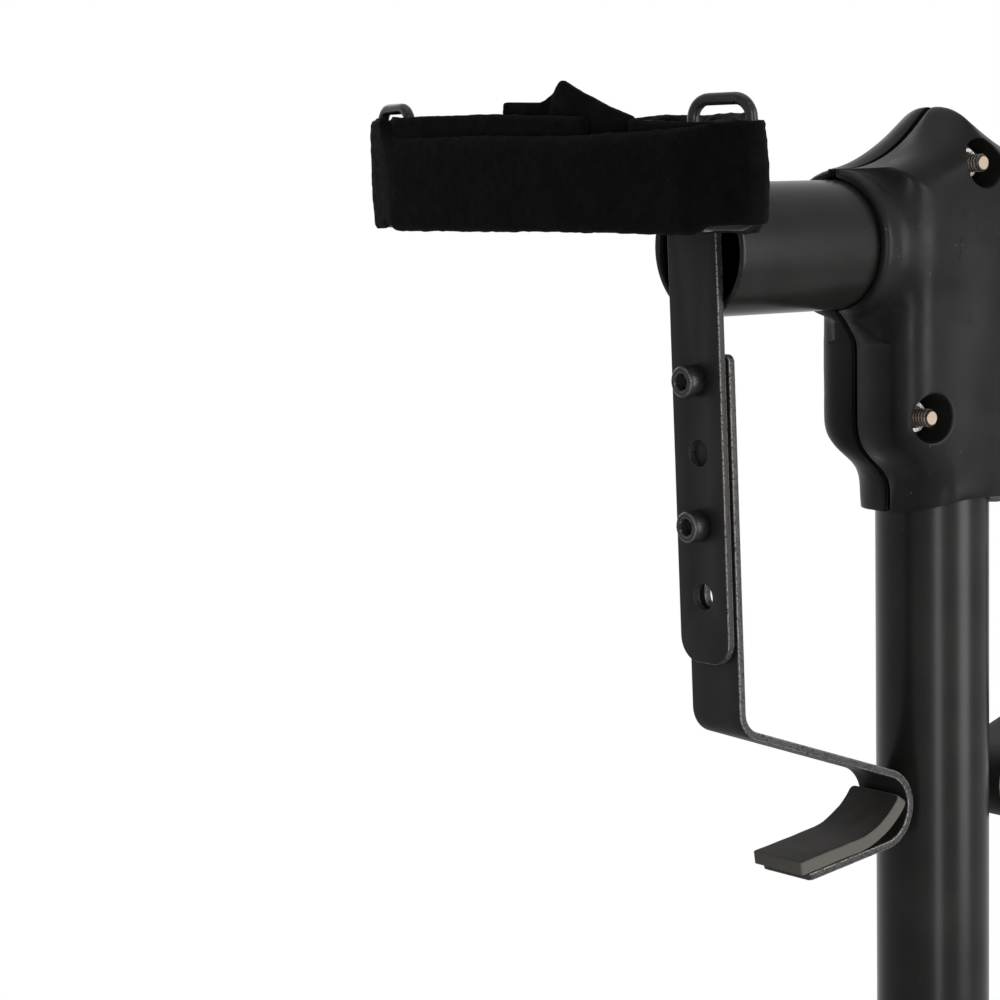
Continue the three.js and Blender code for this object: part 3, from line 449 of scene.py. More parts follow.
def cut_across(shell, stops):
    for stop in stops:
        everything = shell.verts[:] + shell.edges[:] + shell.faces[:]
        bmesh.ops.bisect_plane(shell, geom=everything, plane_co=(stop, 0, 0), plane_no=(1, 0, 0))


def bend(shell, place):
    """Bends a strip that lies along X, as wide as Y and thick in Z, into the XZ plane."""
    for vert in shell.verts:
        point, heading = place(vert.co.x)
        lift = vert.co.z
        vert.co = (point.x - lift * sin(heading), vert.co.y, point.y + lift * cos(heading))


HEAD = shift(0, 0, ARM_HEIGHT)
LEAN = spin(HOLDER_TILT, "Y")
TO_LEAN = shift(BAR_OUTER, 0, 0) @ LEAN @ shift(-BAR_OUTER, 0, 0)
HOLDER = {"left": HEAD @ spin(pi, "Z") @ TO_LEAN, "right": HEAD @ TO_LEAN}
ALONG_X = spin(pi / 2, "Y")
ALONG_FRONT = spin(pi / 2, "X")
ACROSS_X = spin(pi / 2, "Z") @ spin(pi / 2, "X")
MIRROR = {"left": Matrix.Identity(4), "right": Matrix.Scale(-1, 4, (0, 1, 0))}


def joined(shell, other):
    """Adds another shell to a shell."""
    mesh = bpy.data.meshes.new("joined")
    other.to_mesh(mesh)
    other.free()
    shell.from_mesh(mesh)


def piece(name, shell, matrix, node=None, sharp=35):
    """Turns a shell into a piece that stands for a CAD node and rides on that node's body.

    The node's name is the piece's name without its last word, unless it is given.
    """
    node = node or name.rpartition("_")[0]
    bmesh.ops.recalc_face_normals(shell, faces=shell.faces[:])
    shell.transform(Matrix.Scale(MM, 4) @ matrix)
    if matrix.determinant() < 0:
        bmesh.ops.reverse_faces(shell, faces=shell.faces[:])
    mesh = bpy.data.meshes.new(name)
    shell.to_mesh(mesh)
    shell.free()
    mesh.shade_smooth()
    mesh.set_sharp_from_angle(angle=radians(sharp))
    obj = link(name, mesh)
    mesh.materials.append(LOOKS[SLOT_OF[node]])
    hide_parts(node)
    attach(obj, BODY_OF[node])
    return obj


def add_noise(shell, scale, height, seed, test=None):
    """Moves the points of a soft or moulded piece a little, along their normals."""
    shell.normal_update()
    seeded = Vector((seed * 13.7, seed * 5.1, seed * 9.3))
    moves = []
    for vert in shell.verts:
        share = test(vert.co) if test else 1.0
        moves.append(vert.normal * (share * height * noise.noise(vert.co / scale + seeded)))
    for vert, move in zip(shell.verts, moves):
        vert.co += move


# Tubes
def tube(name, radius, wall, length, matrix, node, lean=None):
    shell = new_shell()
    bore = radius - wall
    corner = [(bore, 3), (bore, 0), (radius, 0), (radius, 3)]
    front = rounded(corner, TUBE_EDGE, 3, closed=False)[1:-1]
    front += [(radius, z) for z in (1.2, 2.4, 4.0, 6.0)]
    turned(shell, front + [(r, length - z) for r, z in reversed(front)], 96)
    if lean:
        for vert in shell.verts:
            vert.co.z += lean(vert.co) * (1 if vert.co.z > length / 2 else -1)

    def wear(place):
        outside = hypot(place.x, place.y) > bore + 0.2
        return tube_wear(place, min(place.z, length - place.z)) if outside else 0.0

    wear_faces(shell, wear)
    piece(name, shell, matrix, node)


def tube_wear(place, distance):
    """Scuffs at the cut end of a tube, most of them in one patch of its front upper side."""
    patch = exp(-((place.x + 5) / 5) ** 2) if place.y < 0 else 0.0
    return max(0.0, 1.0 - distance / (1.2 + 6.0 * patch)) * (0.35 + 0.65 * patch)


def crossbar_lean(point):
    """How much further the crossbar's end reaches at a height, so that it meets the leaning bar."""
    height = -point.x
    return (height - 2.8 * sin(HOLDER_TILT)) * tan(HOLDER_TILT)


bar_end = BAR_OUTER - (BAR_T + FIT) * cos(HOLDER_TILT)
tube("crossbar_tube", CROSSBAR_R, CROSSBAR_WALL, 2 * bar_end,
     HEAD @ ALONG_X @ shift(0, 0, -bar_end), "crossbar", lean=crossbar_lean)
tube("mast_tube", MAST_R, MAST_WALL, MAST_LENGTH,
     HEAD @ shift(0, 0, -CROSSBAR_R - FIT - MAST_LENGTH), "mast")
column_low = BASE_HEIGHT + BASE_R + FIT
tube("column_tube", COLUMN_R, COLUMN_WALL, COLUMN_TOP - column_low,
     shift(0, 0, column_low), "column")
base_half = FOOT_SPREAD - BASE_R - FIT
tube("base_cross_tube", BASE_R, BASE_WALL, 2 * base_half,
     shift(-base_half, 0, BASE_HEIGHT) @ ALONG_X, "base_tube")
foot_length = FOOT_LENGTH - 2 * (BOOT_WALL + FIT)
for side, x in (("left", -FOOT_SPREAD), ("right", FOOT_SPREAD)):
    tube(f"foot_{side}_tube", BASE_R, BASE_WALL, foot_length,
         shift(x, foot_length / 2, BASE_HEIGHT) @ ALONG_FRONT, f"foot_tube_{side}")


# Moulded covers
def bezier(a, b, c, d, steps):
    made = []
    for k in range(steps + 1):
        t = k / steps
        shares = ((1 - t) ** 3, 3 * t * (1 - t) ** 2, 3 * t * t * (1 - t), t ** 3)
        made.append(tuple(sum(s * p[i] for s, p in zip(shares, (a, b, c, d))) for i in (0, 1)))
    return made


def eased(line, gap, passes):
    """An open line at even steps, with its kinks smoothed and its ends kept."""
    points = np.array(line, float)
    done = np.concatenate([[0], np.cumsum(norms(np.diff(points, axis=0)))])
    count = max(3, round(done[-1] / gap))
    even = np.linspace(0, done[-1], count + 1)
    points = np.stack([np.interp(even, done, points[:, k]) for k in (0, 1)], 1)
    for _ in range(passes):
        points[1:-1] = points[1:-1] / 2 + (points[:-2] + points[2:]) / 4
    return points


def cover_lines(branch):
    """The free edges of a cover: over the through tube, and below it on the right."""
    sleeve, web = branch + SLEEVE_WALL, branch + WEB_WIDTH
    slope = bezier((0, PEAK_Z), (5, 44), (13, 28), (web, COLLAR_R), 16) + [(COLLAR_REACH, COLLAR_R)]
    top = [(-x, z) for x, z in reversed(slope[1:])] + slope
    side = [(COLLAR_REACH, HEEL - COLLAR_R), (COLLAR_REACH - HEEL, -COLLAR_R), (web, TRUNK_LOW)]
    side += bezier((web, TAPER_FROM), (web, -71), (24, -71), (sleeve, -80), 12)
    side += [(sleeve, -COVER_END)]
    return eased(top, 1.25, 6), eased(side, 1.25, 3)


def distance_to(points, lines):
    least = np.full(len(points), 1e9)
    for line in lines:
        for a, b in zip(line, line[1:]):
            run = b - a
            share = np.clip(((points - a) @ run) / (run @ run), 0, 1)
            least = np.minimum(least, norms(points - a - share[:, None] * run))
    return least


def eased_share(values, start, end):
    share = np.clip((values - start) / (end - start), 0, 1)
    return share * share * (3 - 2 * share)


def lipped(radius, distance, drop, reach):
    """A collar's radius, rounded down to a thin lip at its mouth."""
    share = np.clip(distance / reach, 0, 1)
    return radius - drop * (1 - np.sqrt(1 - (1 - share) ** 2))


def mouth_height(x, branch, arch):
    """Lower edge of a cover half, which may arch up over the branch tube."""
    share = np.minimum(np.abs(x) / (branch + SLEEVE_WALL), 1)
    return -COVER_END + arch * (1 - share ** 3)


def cover_heights(points, lines, branch, form, arch):
    sleeve, web = branch + SLEEVE_WALL, branch + WEB_WIDTH
    x, z = points[:, 0], points[:, 1]
    across = lipped(COLLAR_R, COLLAR_REACH - np.abs(x), 1.7, 2.6)
    along = lipped(sleeve, z - mouth_height(x, branch, arch), 1.5, 4.0)
    over = np.sqrt(np.maximum(across ** 2 - z ** 2, 0))
    below = np.where(z < 0, np.sqrt(np.maximum(along ** 2 - x ** 2, 0)), 0)
    top, right, left = lines
    trunk = [line[np.abs(line[:, 0]) < web + 0.1] for line in (top, right, left)]
    trunk += [np.array([(s * web, COLLAR_R), (s * web, TRUNK_LOW)]) for s in (-1, 1)]
    edge = distance_to(points, trunk)
    edge = np.where((np.abs(x) > web) & (np.abs(z) < -TRUNK_LOW), -edge, edge)
    high = eased_share(z, CROSSBAR_R, PEAK_Z)
    depth, wall, radius = form
    share = np.clip(edge / (radius + (PEAK_EDGE - radius) * high), 0, 1)
    dome = np.sqrt(1 - (1 - share) ** 2)
    fade = np.clip(1 + edge / (COLLAR_REACH - web), 0, 1)
    low = eased_share(-z, -TAPER_FROM, COVER_END)
    crown = depth + (sleeve - depth) * low
    wall = wall + (PEAK_SIDE - wall) * high
    wall = wall + (SLEEVE_WALL - wall) * low
    body = (wall + (crown - wall) * dome) * fade
    blend = (over ** COVER_BLEND + below ** COVER_BLEND + body ** COVER_BLEND) ** (1 / COVER_BLEND)
    outer = np.maximum(blend, PARTING)
    bore = np.sqrt(np.maximum((CROSSBAR_R + FIT) ** 2 - z ** 2, 0))
    branch_bore = np.where(z < 0, np.sqrt(np.maximum((branch + FIT) ** 2 - x ** 2, 0)), 0)
    return outer, np.maximum(bore, branch_bore)


def bolt_places(branch):
    low = branch + BOLT_R + LOW_BOLT_GAP
    return {"middle": (0, TOP_BOLT_Z), "left": (-low, LOW_BOLT_Z), "right": (low, LOW_BOLT_Z)}


def circle(centre, radius, sides):
    return arc(centre, radius, 0, -tau * (sides - 1) / sides, sides - 1)


# Depths below the edge, steps of the grid, and (radius, drop) round a recess; None is its floor
EDGE_ROWS = (0.12, 0.45, 1.0, 1.8, 2.9, 4.3, 6.0, 8.0, 10.2, 12.4)
GRID_X, GRID_Z, GRID_FROM_EDGE = 2.1, 1.9, 13.4
RECESS_ROWS = ((5.6, None), (7.85, None), (8.0, 1.0), (8.12, 0.45), (8.35, 0.12), (8.8, 0.0),
               (9.4, 0.0))


def cover_shell(shell, branch, side, bolted, gap):
    """One half of a cover as a shell over its tubes; side is the sign of Y that it faces."""
    top, right = cover_lines(branch)
    left = right * (-1, 1)
    arch = MOUTH_ARCH if bolted and side < 0 else 0
    sleeve = branch + SLEEVE_WALL
    mouth = [(x, mouth_height(x, branch, arch)) for x in np.linspace(-sleeve, sleeve, 33)[1:-1]]
    ends = [(COLLAR_REACH, z) for z in np.linspace(HEEL - COLLAR_R, COLLAR_R, 37)[1:-1]]
    outline = [*map(tuple, left), *mouth, *map(tuple, right[::-1]), *ends, *map(tuple, top[::-1]),
               *((-x, z) for x, z in reversed(ends))]
    spots = list(bolt_places(branch).values()) if bolted else []
    holes = [circle(spot, BOLT_R + FIT, 40) for spot in spots]
    border = [np.array(outline + outline[:1])]
    extra = []
    for depth in EDGE_ROWS:
        ring = inset(outline, depth)
        extra.append(ring[distance_to(ring, border) > depth * 0.96])
    past = COLLAR_REACH + 1
    grid = np.array([(x + (row % 2), z) for row, z in enumerate(np.arange(-COVER_END, past, GRID_Z))
                     for x in np.arange(-past, past, GRID_X)])
    extra.append(grid[distance_to(grid, border) > GRID_FROM_EDGE])
    extra = np.concatenate(extra)
    for spot in spots:
        extra = extra[norms(extra - spot) > RECESS_R + 1.9]
    sunk = []
    for spot in spots:
        for radius, drop in RECESS_ROWS:
            ring = circle(spot, radius, 40)
            extra = np.concatenate([extra, ring])
            sunk += [drop] * len(ring)
    loops = [outline, *holes]
    points = np.array([p for loop in loops for p in loop] + [tuple(p) for p in extra])
    form = COVER_FORM[side if bolted else -1]
    outer, inner = cover_heights(points, (top, right, left), branch, form, arch)
    wave = np.array([ripple(x / 17, z / 17, branch + side * 3) for x, z in points])
    on_trunk = np.abs(points[:, 0]) < COLLAR_REACH - 4
    outer = outer + 0.35 * wave * np.clip((outer - PARTING) / 8, 0, 1) * on_trunk
    rim = len(outline)
    outer[rim:rim + sum(len(hole) for hole in holes)] = RECESS_FLOOR
    for k, drop in enumerate(sunk):
        at = len(points) - len(sunk) + k
        outer[at] = RECESS_FLOOR if drop is None else outer[at] - drop
    inner = np.maximum(inner, gap / 2)
    tucked = points.copy()
    tucked[:rim] = inset(outline, 0.45)
    low = [shell.verts.new((x, side * h, z)) for (x, z), h in zip(tucked, inner)]
    high = [shell.verts.new((x, side * h, z)) for (x, z), h in zip(points, outer)]
    for face in triangles(loops, extra):
        shell.faces.new([high[k] for k in face])
        shell.faces.new([low[k] for k in face])
    middle = [shell.verts.new((x, side * min(h + 0.5, (h + o) / 2), z))
              for (x, z), h, o in zip(outline, inner, outer)]
    start = 0
    for loop in loops:
        for i in range(len(loop)):
            a, b = start + i, start + (i + 1) % len(loop)
            if start == 0:
                shell.faces.new((high[a], high[b], middle[b], middle[a]))
                shell.faces.new((middle[a], middle[b], low[b], low[a]))
            else:
                shell.faces.new((high[a], high[b], low[b], low[a]))
        start += len(loop)


BASE_COVER = shift(0, 0, BASE_HEIGHT) @ spin(pi, "Y")
CENTRE_COVERS = (("top_cover", MAST_R, HEAD), ("base_cover", COLUMN_R, BASE_COVER))
END_COVER = {
    "right": Matrix(((0, 0, 1, FOOT_SPREAD), (1, 0, 0, 0), (0, 1, 0, BASE_HEIGHT), (0, 0, 0, 1))),
    "left": Matrix(((0, 0, -1, -FOOT_SPREAD), (-1, 0, 0, 0), (0, 1, 0, BASE_HEIGHT), (0, 0, 0, 1))),
}
for joint, branch, matrix in CENTRE_COVERS:
    for face, sign in (("front", -1), ("back", 1)):
        shell = new_shell()
        cover_shell(shell, branch, sign, True, PARTING)
        piece(f"{joint}_{face}_half", shell, matrix, sharp=50)
for side, matrix in END_COVER.items():
    shell = new_shell()
    for sign in (-1, 1):
        cover_shell(shell, BASE_R, sign, False, 0.04)
    piece(f"end_cover_{side}_moulding", shell, matrix, sharp=50)


# Screws and nuts, along +Z with the head below the origin
def hexagon(radius, turn):
    apothem = radius * cos(pi / 6)
    return apothem / cos((turn % (pi / 3)) - pi / 6)


def thread(shell, start, end, radius=BOLT_R):
    """A shank with a helical groove and a bevelled end."""
    def reach_at(height):
        def reach(turn):
            phase = (height / THREAD_PITCH - turn / tau) % 1.0
            groove = 0.5 * THREAD_PITCH * (1 - abs(2 * phase - 1))
            return min(radius - groove, radius - 0.9 + (end - height) * 1.1)
        return reach

    rows = round((end - start) / THREAD_PITCH * 9)
    heights = [start + (end - start) * k / rows for k in range(rows + 1)]
    known = set(shell.faces)
    turned(shell, [(reach_at(height), height) for height in heights], 28, loop=False)
    layer = shell.faces.layers.float["wear"]
    for face in shell.faces:
        if face not in known:
            middle = face.calc_center_median()
            crest = hypot(middle.x, middle.y) > radius - 0.2
            face[layer] = 1.0 if middle.z > end - 0.1 else 0.75 if crest else 0.0


def screw_head(shell):
    """A socket head with a knurled side; it spans from -HEAD_H to the origin."""
    def knurl(turn):
        return HEAD_R - 0.11 * (0.5 + 0.5 * cos(turn * 40))

    def socket(turn):
        return hexagon(SOCKET_R, turn)

    above = [(knurl, 0.9), (HEAD_R - 0.12, 0.75), (HEAD_R - 0.2, 0.35), (HEAD_R - 0.5, 0.08),
             (HEAD_R - 0.8, 0), (SOCKET_R + 0.45, 0), (SOCKET_R + 0.2, 0.08), (socket, 0.4),
             (socket, 3), (0.4, 3.7)]
    profile = [(BOLT_R - 0.1, 0), (HEAD_R - 0.35, 0), (knurl, -0.35)]
    turned(shell, profile + [(reach, rise - HEAD_H) for reach, rise in above], 120, loop=False)

    def wear(place):
        on_rim = hypot(place.x, place.y) > SOCKET_R
        return 0.8 if -HEAD_H < place.z < -HEAD_H + 0.38 and on_rim else 0.0

    wear_faces(shell, wear)


def nut_shell(shell, bolt=BOLT_R, outer=NUT_R, flange=True):
    """A nut above the origin, on its flange."""
    height = NUT_H
    foot = [(FLANGE_R - 0.35, 0), (FLANGE_R, 0.3), (FLANGE_R, 0.75)]
    foot += [(FLANGE_R - 0.9, FLANGE_H + 0.25)]
    start = foot if flange else [(outer - 0.9, 0)]

    def flats(cut):
        return lambda turn: min(hexagon(outer, turn), outer - cut)

    body = [(flats(0.05), FLANGE_H + 0.6 if flange else 0.5), (flats(0.0), height - 0.9),
            (flats(0.45), height - 0.2), (flats(0.75), height), (bolt + 0.75, height),
            (bolt + 0.25, height - 0.4), (bolt + 0.25, 0.1)]
    turned(shell, start + body, 72, loop=True)


def screw(name, length, thread_start, matrix, node):
    shell = new_shell()
    screw_head(shell)
    turned(shell, [(BOLT_R - 0.02, -0.2), (BOLT_R - 0.02, thread_start)], 28, loop=False)
    thread(shell, thread_start, length)
    piece(name, shell, matrix, node, sharp=40)


def nut(name, matrix, node):
    shell = new_shell()
    nut_shell(shell)
    piece(name, shell, matrix, node, sharp=30)


seat = RECESS_FLOOR + FIT
for joint, branch, matrix in CENTRE_COVERS:
    for where, (x, z) in bolt_places(branch).items():
        twist = spin(x * 0.7 + z, "Z")
        back = matrix @ shift(x, seat, z) @ ALONG_FRONT @ twist
        front = matrix @ shift(x, -seat, z) @ ALONG_FRONT @ twist
        screw(f"{joint}_screw_{where}", 2 * seat + NUT_H + THREAD_OUT, 2 * seat - 1, back,
              f"{joint}_bolt_{where}")
        nut(f"{joint}_flange_nut_{where}", front, f"{joint}_nut_{where}")


# Drum holders
def upright_bar(side):
    half, edge, low = BAR_W / 2, 1.2, BAR_CORNER
    corners = [(half, BAR_TOP), (-half, BAR_TOP), (-half, BAR_LOW), (half, BAR_LOW)]
    outer = rounded(corners, [edge, edge, low, low], 10)
    holes = [circle((0, z), BAR_HOLE_R, 32) for z in BAR_HOLES]
    shell = new_shell()
    plate(shell, [outer, *holes], 0, BAR_T, 0.35, 3)
    wear_faces(shell, lambda c: bar_wear(c.x, c.y, c.z))
    matrix = HOLDER[side] @ shift(BAR_INNER, 0, 0) @ ACROSS_X
    piece(f"upright_bar_{side}_plate", shell, matrix)


def bar_wear(across, height, depth):
    """Bare metal along the two outer corners, and traces on the cut edge and round the holes."""
    if depth < 0.01 or depth > BAR_T - 0.01:
        return 0.0
    if abs(across) > BAR_W / 2 - 0.4 or height < BAR_LOW + 0.4:
        return 0.12 if 0.4 < depth < BAR_T - 0.4 else 1.0
    rims = (hypot(across, height - z) - BAR_HOLE_R - 0.15 for z in BAR_HOLES)
    return 0.15 if any(abs(rim) < 0.2 for rim in rims) else 0.3


def hook_place():
    fall = pi / 2 - HOOK_FALL
    curl = pi - HOOK_FALL - SHELF_FALL
    moves = [(HOOK_DROP, 0), (HOOK_BEND_R * fall, -fall), (HOOK_RUN, 0), (HOOK_CURL_R * curl, curl)]
    return walk((HOOK_MIDDLE, HOOK_TOP), -pi / 2, moves + [(SHELF_LENGTH, 0)])


def hook_bar(side):
    place, stops, length = hook_place()
    half = BAR_W / 2
    outer = rounded(box(0, length, -half, half), [2.5, 1.6, 1.6, 2.5], 6)
    near, far = HOOK_TOP + SLOT_FROM + SLOT_R, HOOK_TOP + SLOT_TO - SLOT_R
    slot = arc((near, 0), SLOT_R, -pi / 2, -1.5 * pi, 14)
    slot += arc((far, 0), SLOT_R, pi / 2, -pi / 2, 14)
    shell = new_shell()
    plate(shell, [outer, slot], -BAR_T / 2, BAR_T / 2, 0.4, 3, side_wear=0.25)
    cut_across(shell, stops)
    bend(shell, place)
    piece(f"hook_bar_{side}_strip", shell, HOLDER[side])


def hook_pad(side):
    hook, _, length = hook_place()
    tip, _ = hook(length)
    inward = pi - SHELF_FALL
    back = facing(inward)
    start = tip - left_of(inward) * (BAR_T / 2 + FIT + PAD_T / 2) - back * PAD_PAST_TIP
    moves = [(PAD_PAST_TIP + PAD_FLAT, 0), (PAD_CURL_R * PAD_TURN, -PAD_TURN)]
    place, stops, total = walk(start, inward, moves)
    half, step = BAR_W / 2, 1.6
    outer = rounded(box(0, total, -half, half), [0.8, 2.0, 2.0, 0.8], 5)
    inner = [(x, y) for x in np.arange(2, total - 1, step)
             for y in np.arange(-half + step, half - 1, step)]
    shell = new_shell()
    plate(shell, [outer], -PAD_T / 2, PAD_T / 2, 0.35, 3, side_wear=1.0, extra=inner)
    cut_across(shell, [*np.arange(2.8, total, 3.2), *stops])
    for vert in shell.verts:
        along, across = vert.co.x / total, vert.co.y / half
        if vert.co.z < 0:
            crown = 0.35 * (1 - across * across) * sin(pi * along)
            vert.co.z += crown + 0.5 * max(0, along - 0.75)
        vert.co.z += 0.14 * noise.noise(vert.co / 6) + 0.05 * noise.noise(vert.co / 1.7)
        vert.co.y += 0.18 * ripple(vert.co.x / 7, vert.co.y, 3)
    bend(shell, place)
    obj = piece(f"hook_pad_{side}_foam", shell, HOLDER[side])


def spacer(side):
    upper, lower = BAR_HOLES[0], BAR_HOLES[2]
    outer = arc((0, upper), SPACER_R, 0, pi, 16)
    outer += arc((0, lower), SPACER_R, pi, tau, 16)
    holes = [circle((0, z), BOLT_R + FIT, 28) for z in (upper, lower)]
    shell = new_shell()
    plate(shell, [outer, *holes], 0, SPACER_T, 0.12)
    matrix = HOLDER[side] @ shift(SPACER_OUTER - SPACER_T, 0, 0) @ ACROSS_X
    piece(f"bar_spacer_{side}_plate", shell, matrix)


def yoke_place(angle, radius, z):
    return Vector((YOKE_X - radius * cos(angle), radius * sin(angle), z))


def yoke_band(side):
    middle = YOKE_R + BAND_T / 2
    reach, half = YOKE_HALF * middle, BAND_W / 2
    outer = rounded(box(-reach, reach, -half, half), 3, 5)
    shell = new_shell()
    plate(shell, [outer], -BAND_T / 2, BAND_T / 2, 0.4)
    cut_across(shell, np.arange(-reach + 1.5, reach, 3))
    for vert in shell.verts:
        vert.co = yoke_place(vert.co.x / middle, middle + vert.co.z, YOKE_Z + vert.co.y)
    piece(f"yoke_band_{side}_strip", shell, HOLDER[side])


def sleeve_section(bulge):
    """Cross-section of the padded sleeve as offsets from the band's middle and from mid height."""
    ring = []
    for k in range(40):
        turn = tau * k / 40
        c, s = cos(turn), sin(turn)
        out = SLEEVE_DEPTH * bulge * copysign(abs(c) ** 0.75, c)
        ring.append((out, SLEEVE_HALF * copysign(abs(s) ** 0.42, s)))
    return ring


SWELL = {"quality": 5, "mass": 0.2, "tension_stiffness": 12, "compression_stiffness": 12,
         "bending_stiffness": 0.4, "shrink_min": -0.035, "use_pressure": True,
         "uniform_pressure_force": 4}
SWELL_FRAMES = 20


def applied(obj):
    """The object's mesh as its modifiers leave it; the modifiers are taken off."""
    graph = bpy.context.evaluated_depsgraph_get()
    mesh = bpy.data.meshes.new_from_object(obj.evaluated_get(graph))
    obj.modifiers.clear()
    return mesh


def swell(obj, voxel, cap):
    """Fills a padded piece by simulation: the skin swells a little and settles into creases."""
    remesh = obj.modifiers.new("remesh", "REMESH")
    remesh.mode, remesh.voxel_size = "VOXEL", voxel
    obj.data = applied(obj)
    start = np.array([v.co for v in obj.data.vertices])
    cloth = obj.modifiers.new("cloth", "CLOTH")
    for key, value in SWELL.items():
        setattr(cloth.settings, key, value)
    cloth.settings.effector_weights.gravity = 0
    cloth.point_cache.frame_start, cloth.point_cache.frame_end = 1, SWELL_FRAMES
    scene = bpy.context.scene
    for step in range(1, SWELL_FRAMES + 1):
        scene.frame_set(step)
    swollen = applied(obj)
    scene.frame_set(1)
    moves = np.array([v.co for v in swollen.vertices]) - start
    scale = np.minimum(1.0, cap / np.maximum(norms(moves), 1e-9))
    swollen.vertices.foreach_set("co", (start + moves * scale[:, None]).ravel())
    obj.data = swollen


def sleeve_limits(point):
    """Keeps a sleeve's skin off the upright bar and off the plates at its foot."""
    across, height = abs(point.y), point.z
    least = BAR_INNER + 0.1
    if height < BAR_TOP + 1.2:
        ramp_in = unit((15.5 - across) / 3.2)
        least += ramp_in * (BAR_OUTER + FIT + BAND_T + 0.2 - least)
    point.x = max(point.x, least)


def yoke_sleeve(side):
    shell = new_shell()
    middle = YOKE_R + BAND_T / 2
    limit = YOKE_HALF - radians(3)
    rings = []
    for k in range(75):
        share = k / 74 * 2 - 1
        end = min(1.0, (1 - abs(share)) * 20)
        bulge = sqrt(max(0.0, 1 - (1 - end) ** 2)) * 0.35 + 0.65
        angle = share * limit
        ring = []
        for out, up in sleeve_section(bulge):
            up *= 1 - 0.2 * share ** 4
            drift = 0.9 * ripple(angle * 3, up / 20, 2) + abs(share) ** 2 * (up > 0)
            ring.append(yoke_place(angle, middle + out, YOKE_Z + up + drift))
        rings.append(ring)
    skin(shell, rings)
    obj = piece(f"yoke_sleeve_{side}_padded", shell, Matrix.Identity(4))
    swell(obj, 2.6 * MM, 2.2 * MM)
    shell = bmesh.new()
    shell.from_mesh(obj.data)
    shell.transform(Matrix.Scale(1 / MM, 4))
    bmesh.ops.subdivide_edges(shell, edges=shell.edges[:], cuts=1, use_grid_fill=True, smooth=0.4)
    add_noise(shell, 9, 0.7, 3)
    add_noise(shell, 2.2, 0.28, 5)
    for vert in shell.verts:
        sleeve_limits(vert.co)
        vert.co.z = min(max(vert.co.z, YOKE_Z - 19.2), YOKE_Z + 21.5)
        seam = abs(vert.co.z - (YOKE_Z + 15.8))
        seam_half = 1.2
        if seam < seam_half:
            angle = atan2(vert.co.y, YOKE_X - vert.co.x)
            reach = hypot(vert.co.y, YOKE_X - vert.co.x)
            pull = 0.55 * (1 - seam / seam_half) * (1 if reach < middle else -1)
            vert.co.x -= pull * cos(angle)
            vert.co.y += pull * sin(angle)
    shell.transform(Matrix.Scale(MM, 4) @ HOLDER[side])
    shell.to_mesh(obj.data)
    shell.free()
    obj.data.shade_smooth()
    obj.data.materials.clear()
    obj.data.materials.append(LOOKS["black_velvet"])


RING_TURN = YOKE_HALF + (WIRE_R + FIT) / YOKE_R


def ring_place(radius, v, z):
    return Vector((YOKE_X - radius * cos(RING_TURN), v * radius * sin(RING_TURN), z))


def wire_ring(name, side, v, node):
    top = RING_TOP + (0 if "front" in name else BACK_RING_RISE)
    loop = rounded(box(RING_INNER, RING_OUTER, RING_BOTTOM, top), 5.5, 9)
    dense = []
    for a, b in zip(loop, loop[1:] + loop[:1]):
        steps = max(1, round(dist(a, b) / 4))
        dense += [tuple(p + (q - p) * k / steps for p, q in zip(a, b)) for k in range(steps)]
    upward = Vector((0, 0, 1))
    across = (ring_place(1, v, 0) - ring_place(0, v, 0)).normalized()
    plane = across.cross(upward)
    rings = []
    for k, point in enumerate(dense):
        before, after = dense[k - 1], dense[(k + 1) % len(dense)]
        run = Vector((after[0] - before[0], after[1] - before[1])).normalized()
        out = across * run.y - upward * run.x
        middle = ring_place(point[0], v, point[1])
        radius = WIRE_R * (1 + 0.03 * ripple(k * 0.3, v, 1))
        rings.append([middle + radius * (out * cos(t) + plane * sin(t))
                      for t in (tau * i / 16 for i in range(16))])
    shell = new_shell()
    skin(shell, rings, loop=True)
    wear_faces(shell, lambda c: 0.5 if abs(c.z - RING_TOP) < 3 else 0.15)
    piece(name, shell, HOLDER[side], node)


RING_LEG = ring_place(RING_INNER, 1, 0)
RING_OUT = ring_place(RING_OUTER, 1, 0)
STRAP_BACK = RING_LEG.x + WIRE_R + FIT + STRAP_T / 2
STRAP_FRONT = STRAP_BACK + STRAP_T + 0.4


def strap_line():
    """Middle line of the strap in plan, from its end behind at the front, round both rings."""
    wrap = WIRE_R + FIT + STRAP_T / 2
    lap = RING_LEG.y + 3

    def touch(x, sign):
        run = Vector((x - RING_OUT.x, lap - RING_OUT.y))
        return atan2(run.y, run.x) + sign * acos(wrap / run.length)

    first, last = touch(STRAP_FRONT, 1), touch(STRAP_BACK, -1)
    if last < first:
        last += tau
    turns = arc((RING_OUT.x, RING_OUT.y), wrap, last, first, 18)
    near = [(STRAP_BACK, lap), *turns, (STRAP_FRONT, lap)]
    far = [(x, -y) for x, y in reversed(near)]
    places = np.linspace(lap - 6, -lap + 6, 16)
    front = [(STRAP_FRONT + 1.5 * (1 - (v / lap) ** 2), v) for v in places]
    return eased([(STRAP_BACK, 44), *near, *front, *far, (STRAP_BACK, 24)], 2.0, 2)


# Heights of the strap along the opening: front layer low and high, back layer low and high
STRAP_EDGES = (
    ((-88, -30, 0, 30, 60), (9.7, 9.65, 9.6, 9.3, 8.9)),
    ((-96, -60, -30, 0, 25, 40, 55, 75, 92, 100),
     (38.8, 38.5, 38.2, 37.7, 37.4, 37.8, 38.3, 39.1, 39.9, 40.2)),
    ((-90, -80, -66, 0, 40), (9.7, 9.9, 15.5, 15.5, 11.5)),
    ((-96, -80, -20, 40, 60, 75), (43.0, 45.2, 44.6, 42.2, 40.5, 39.9)),
)


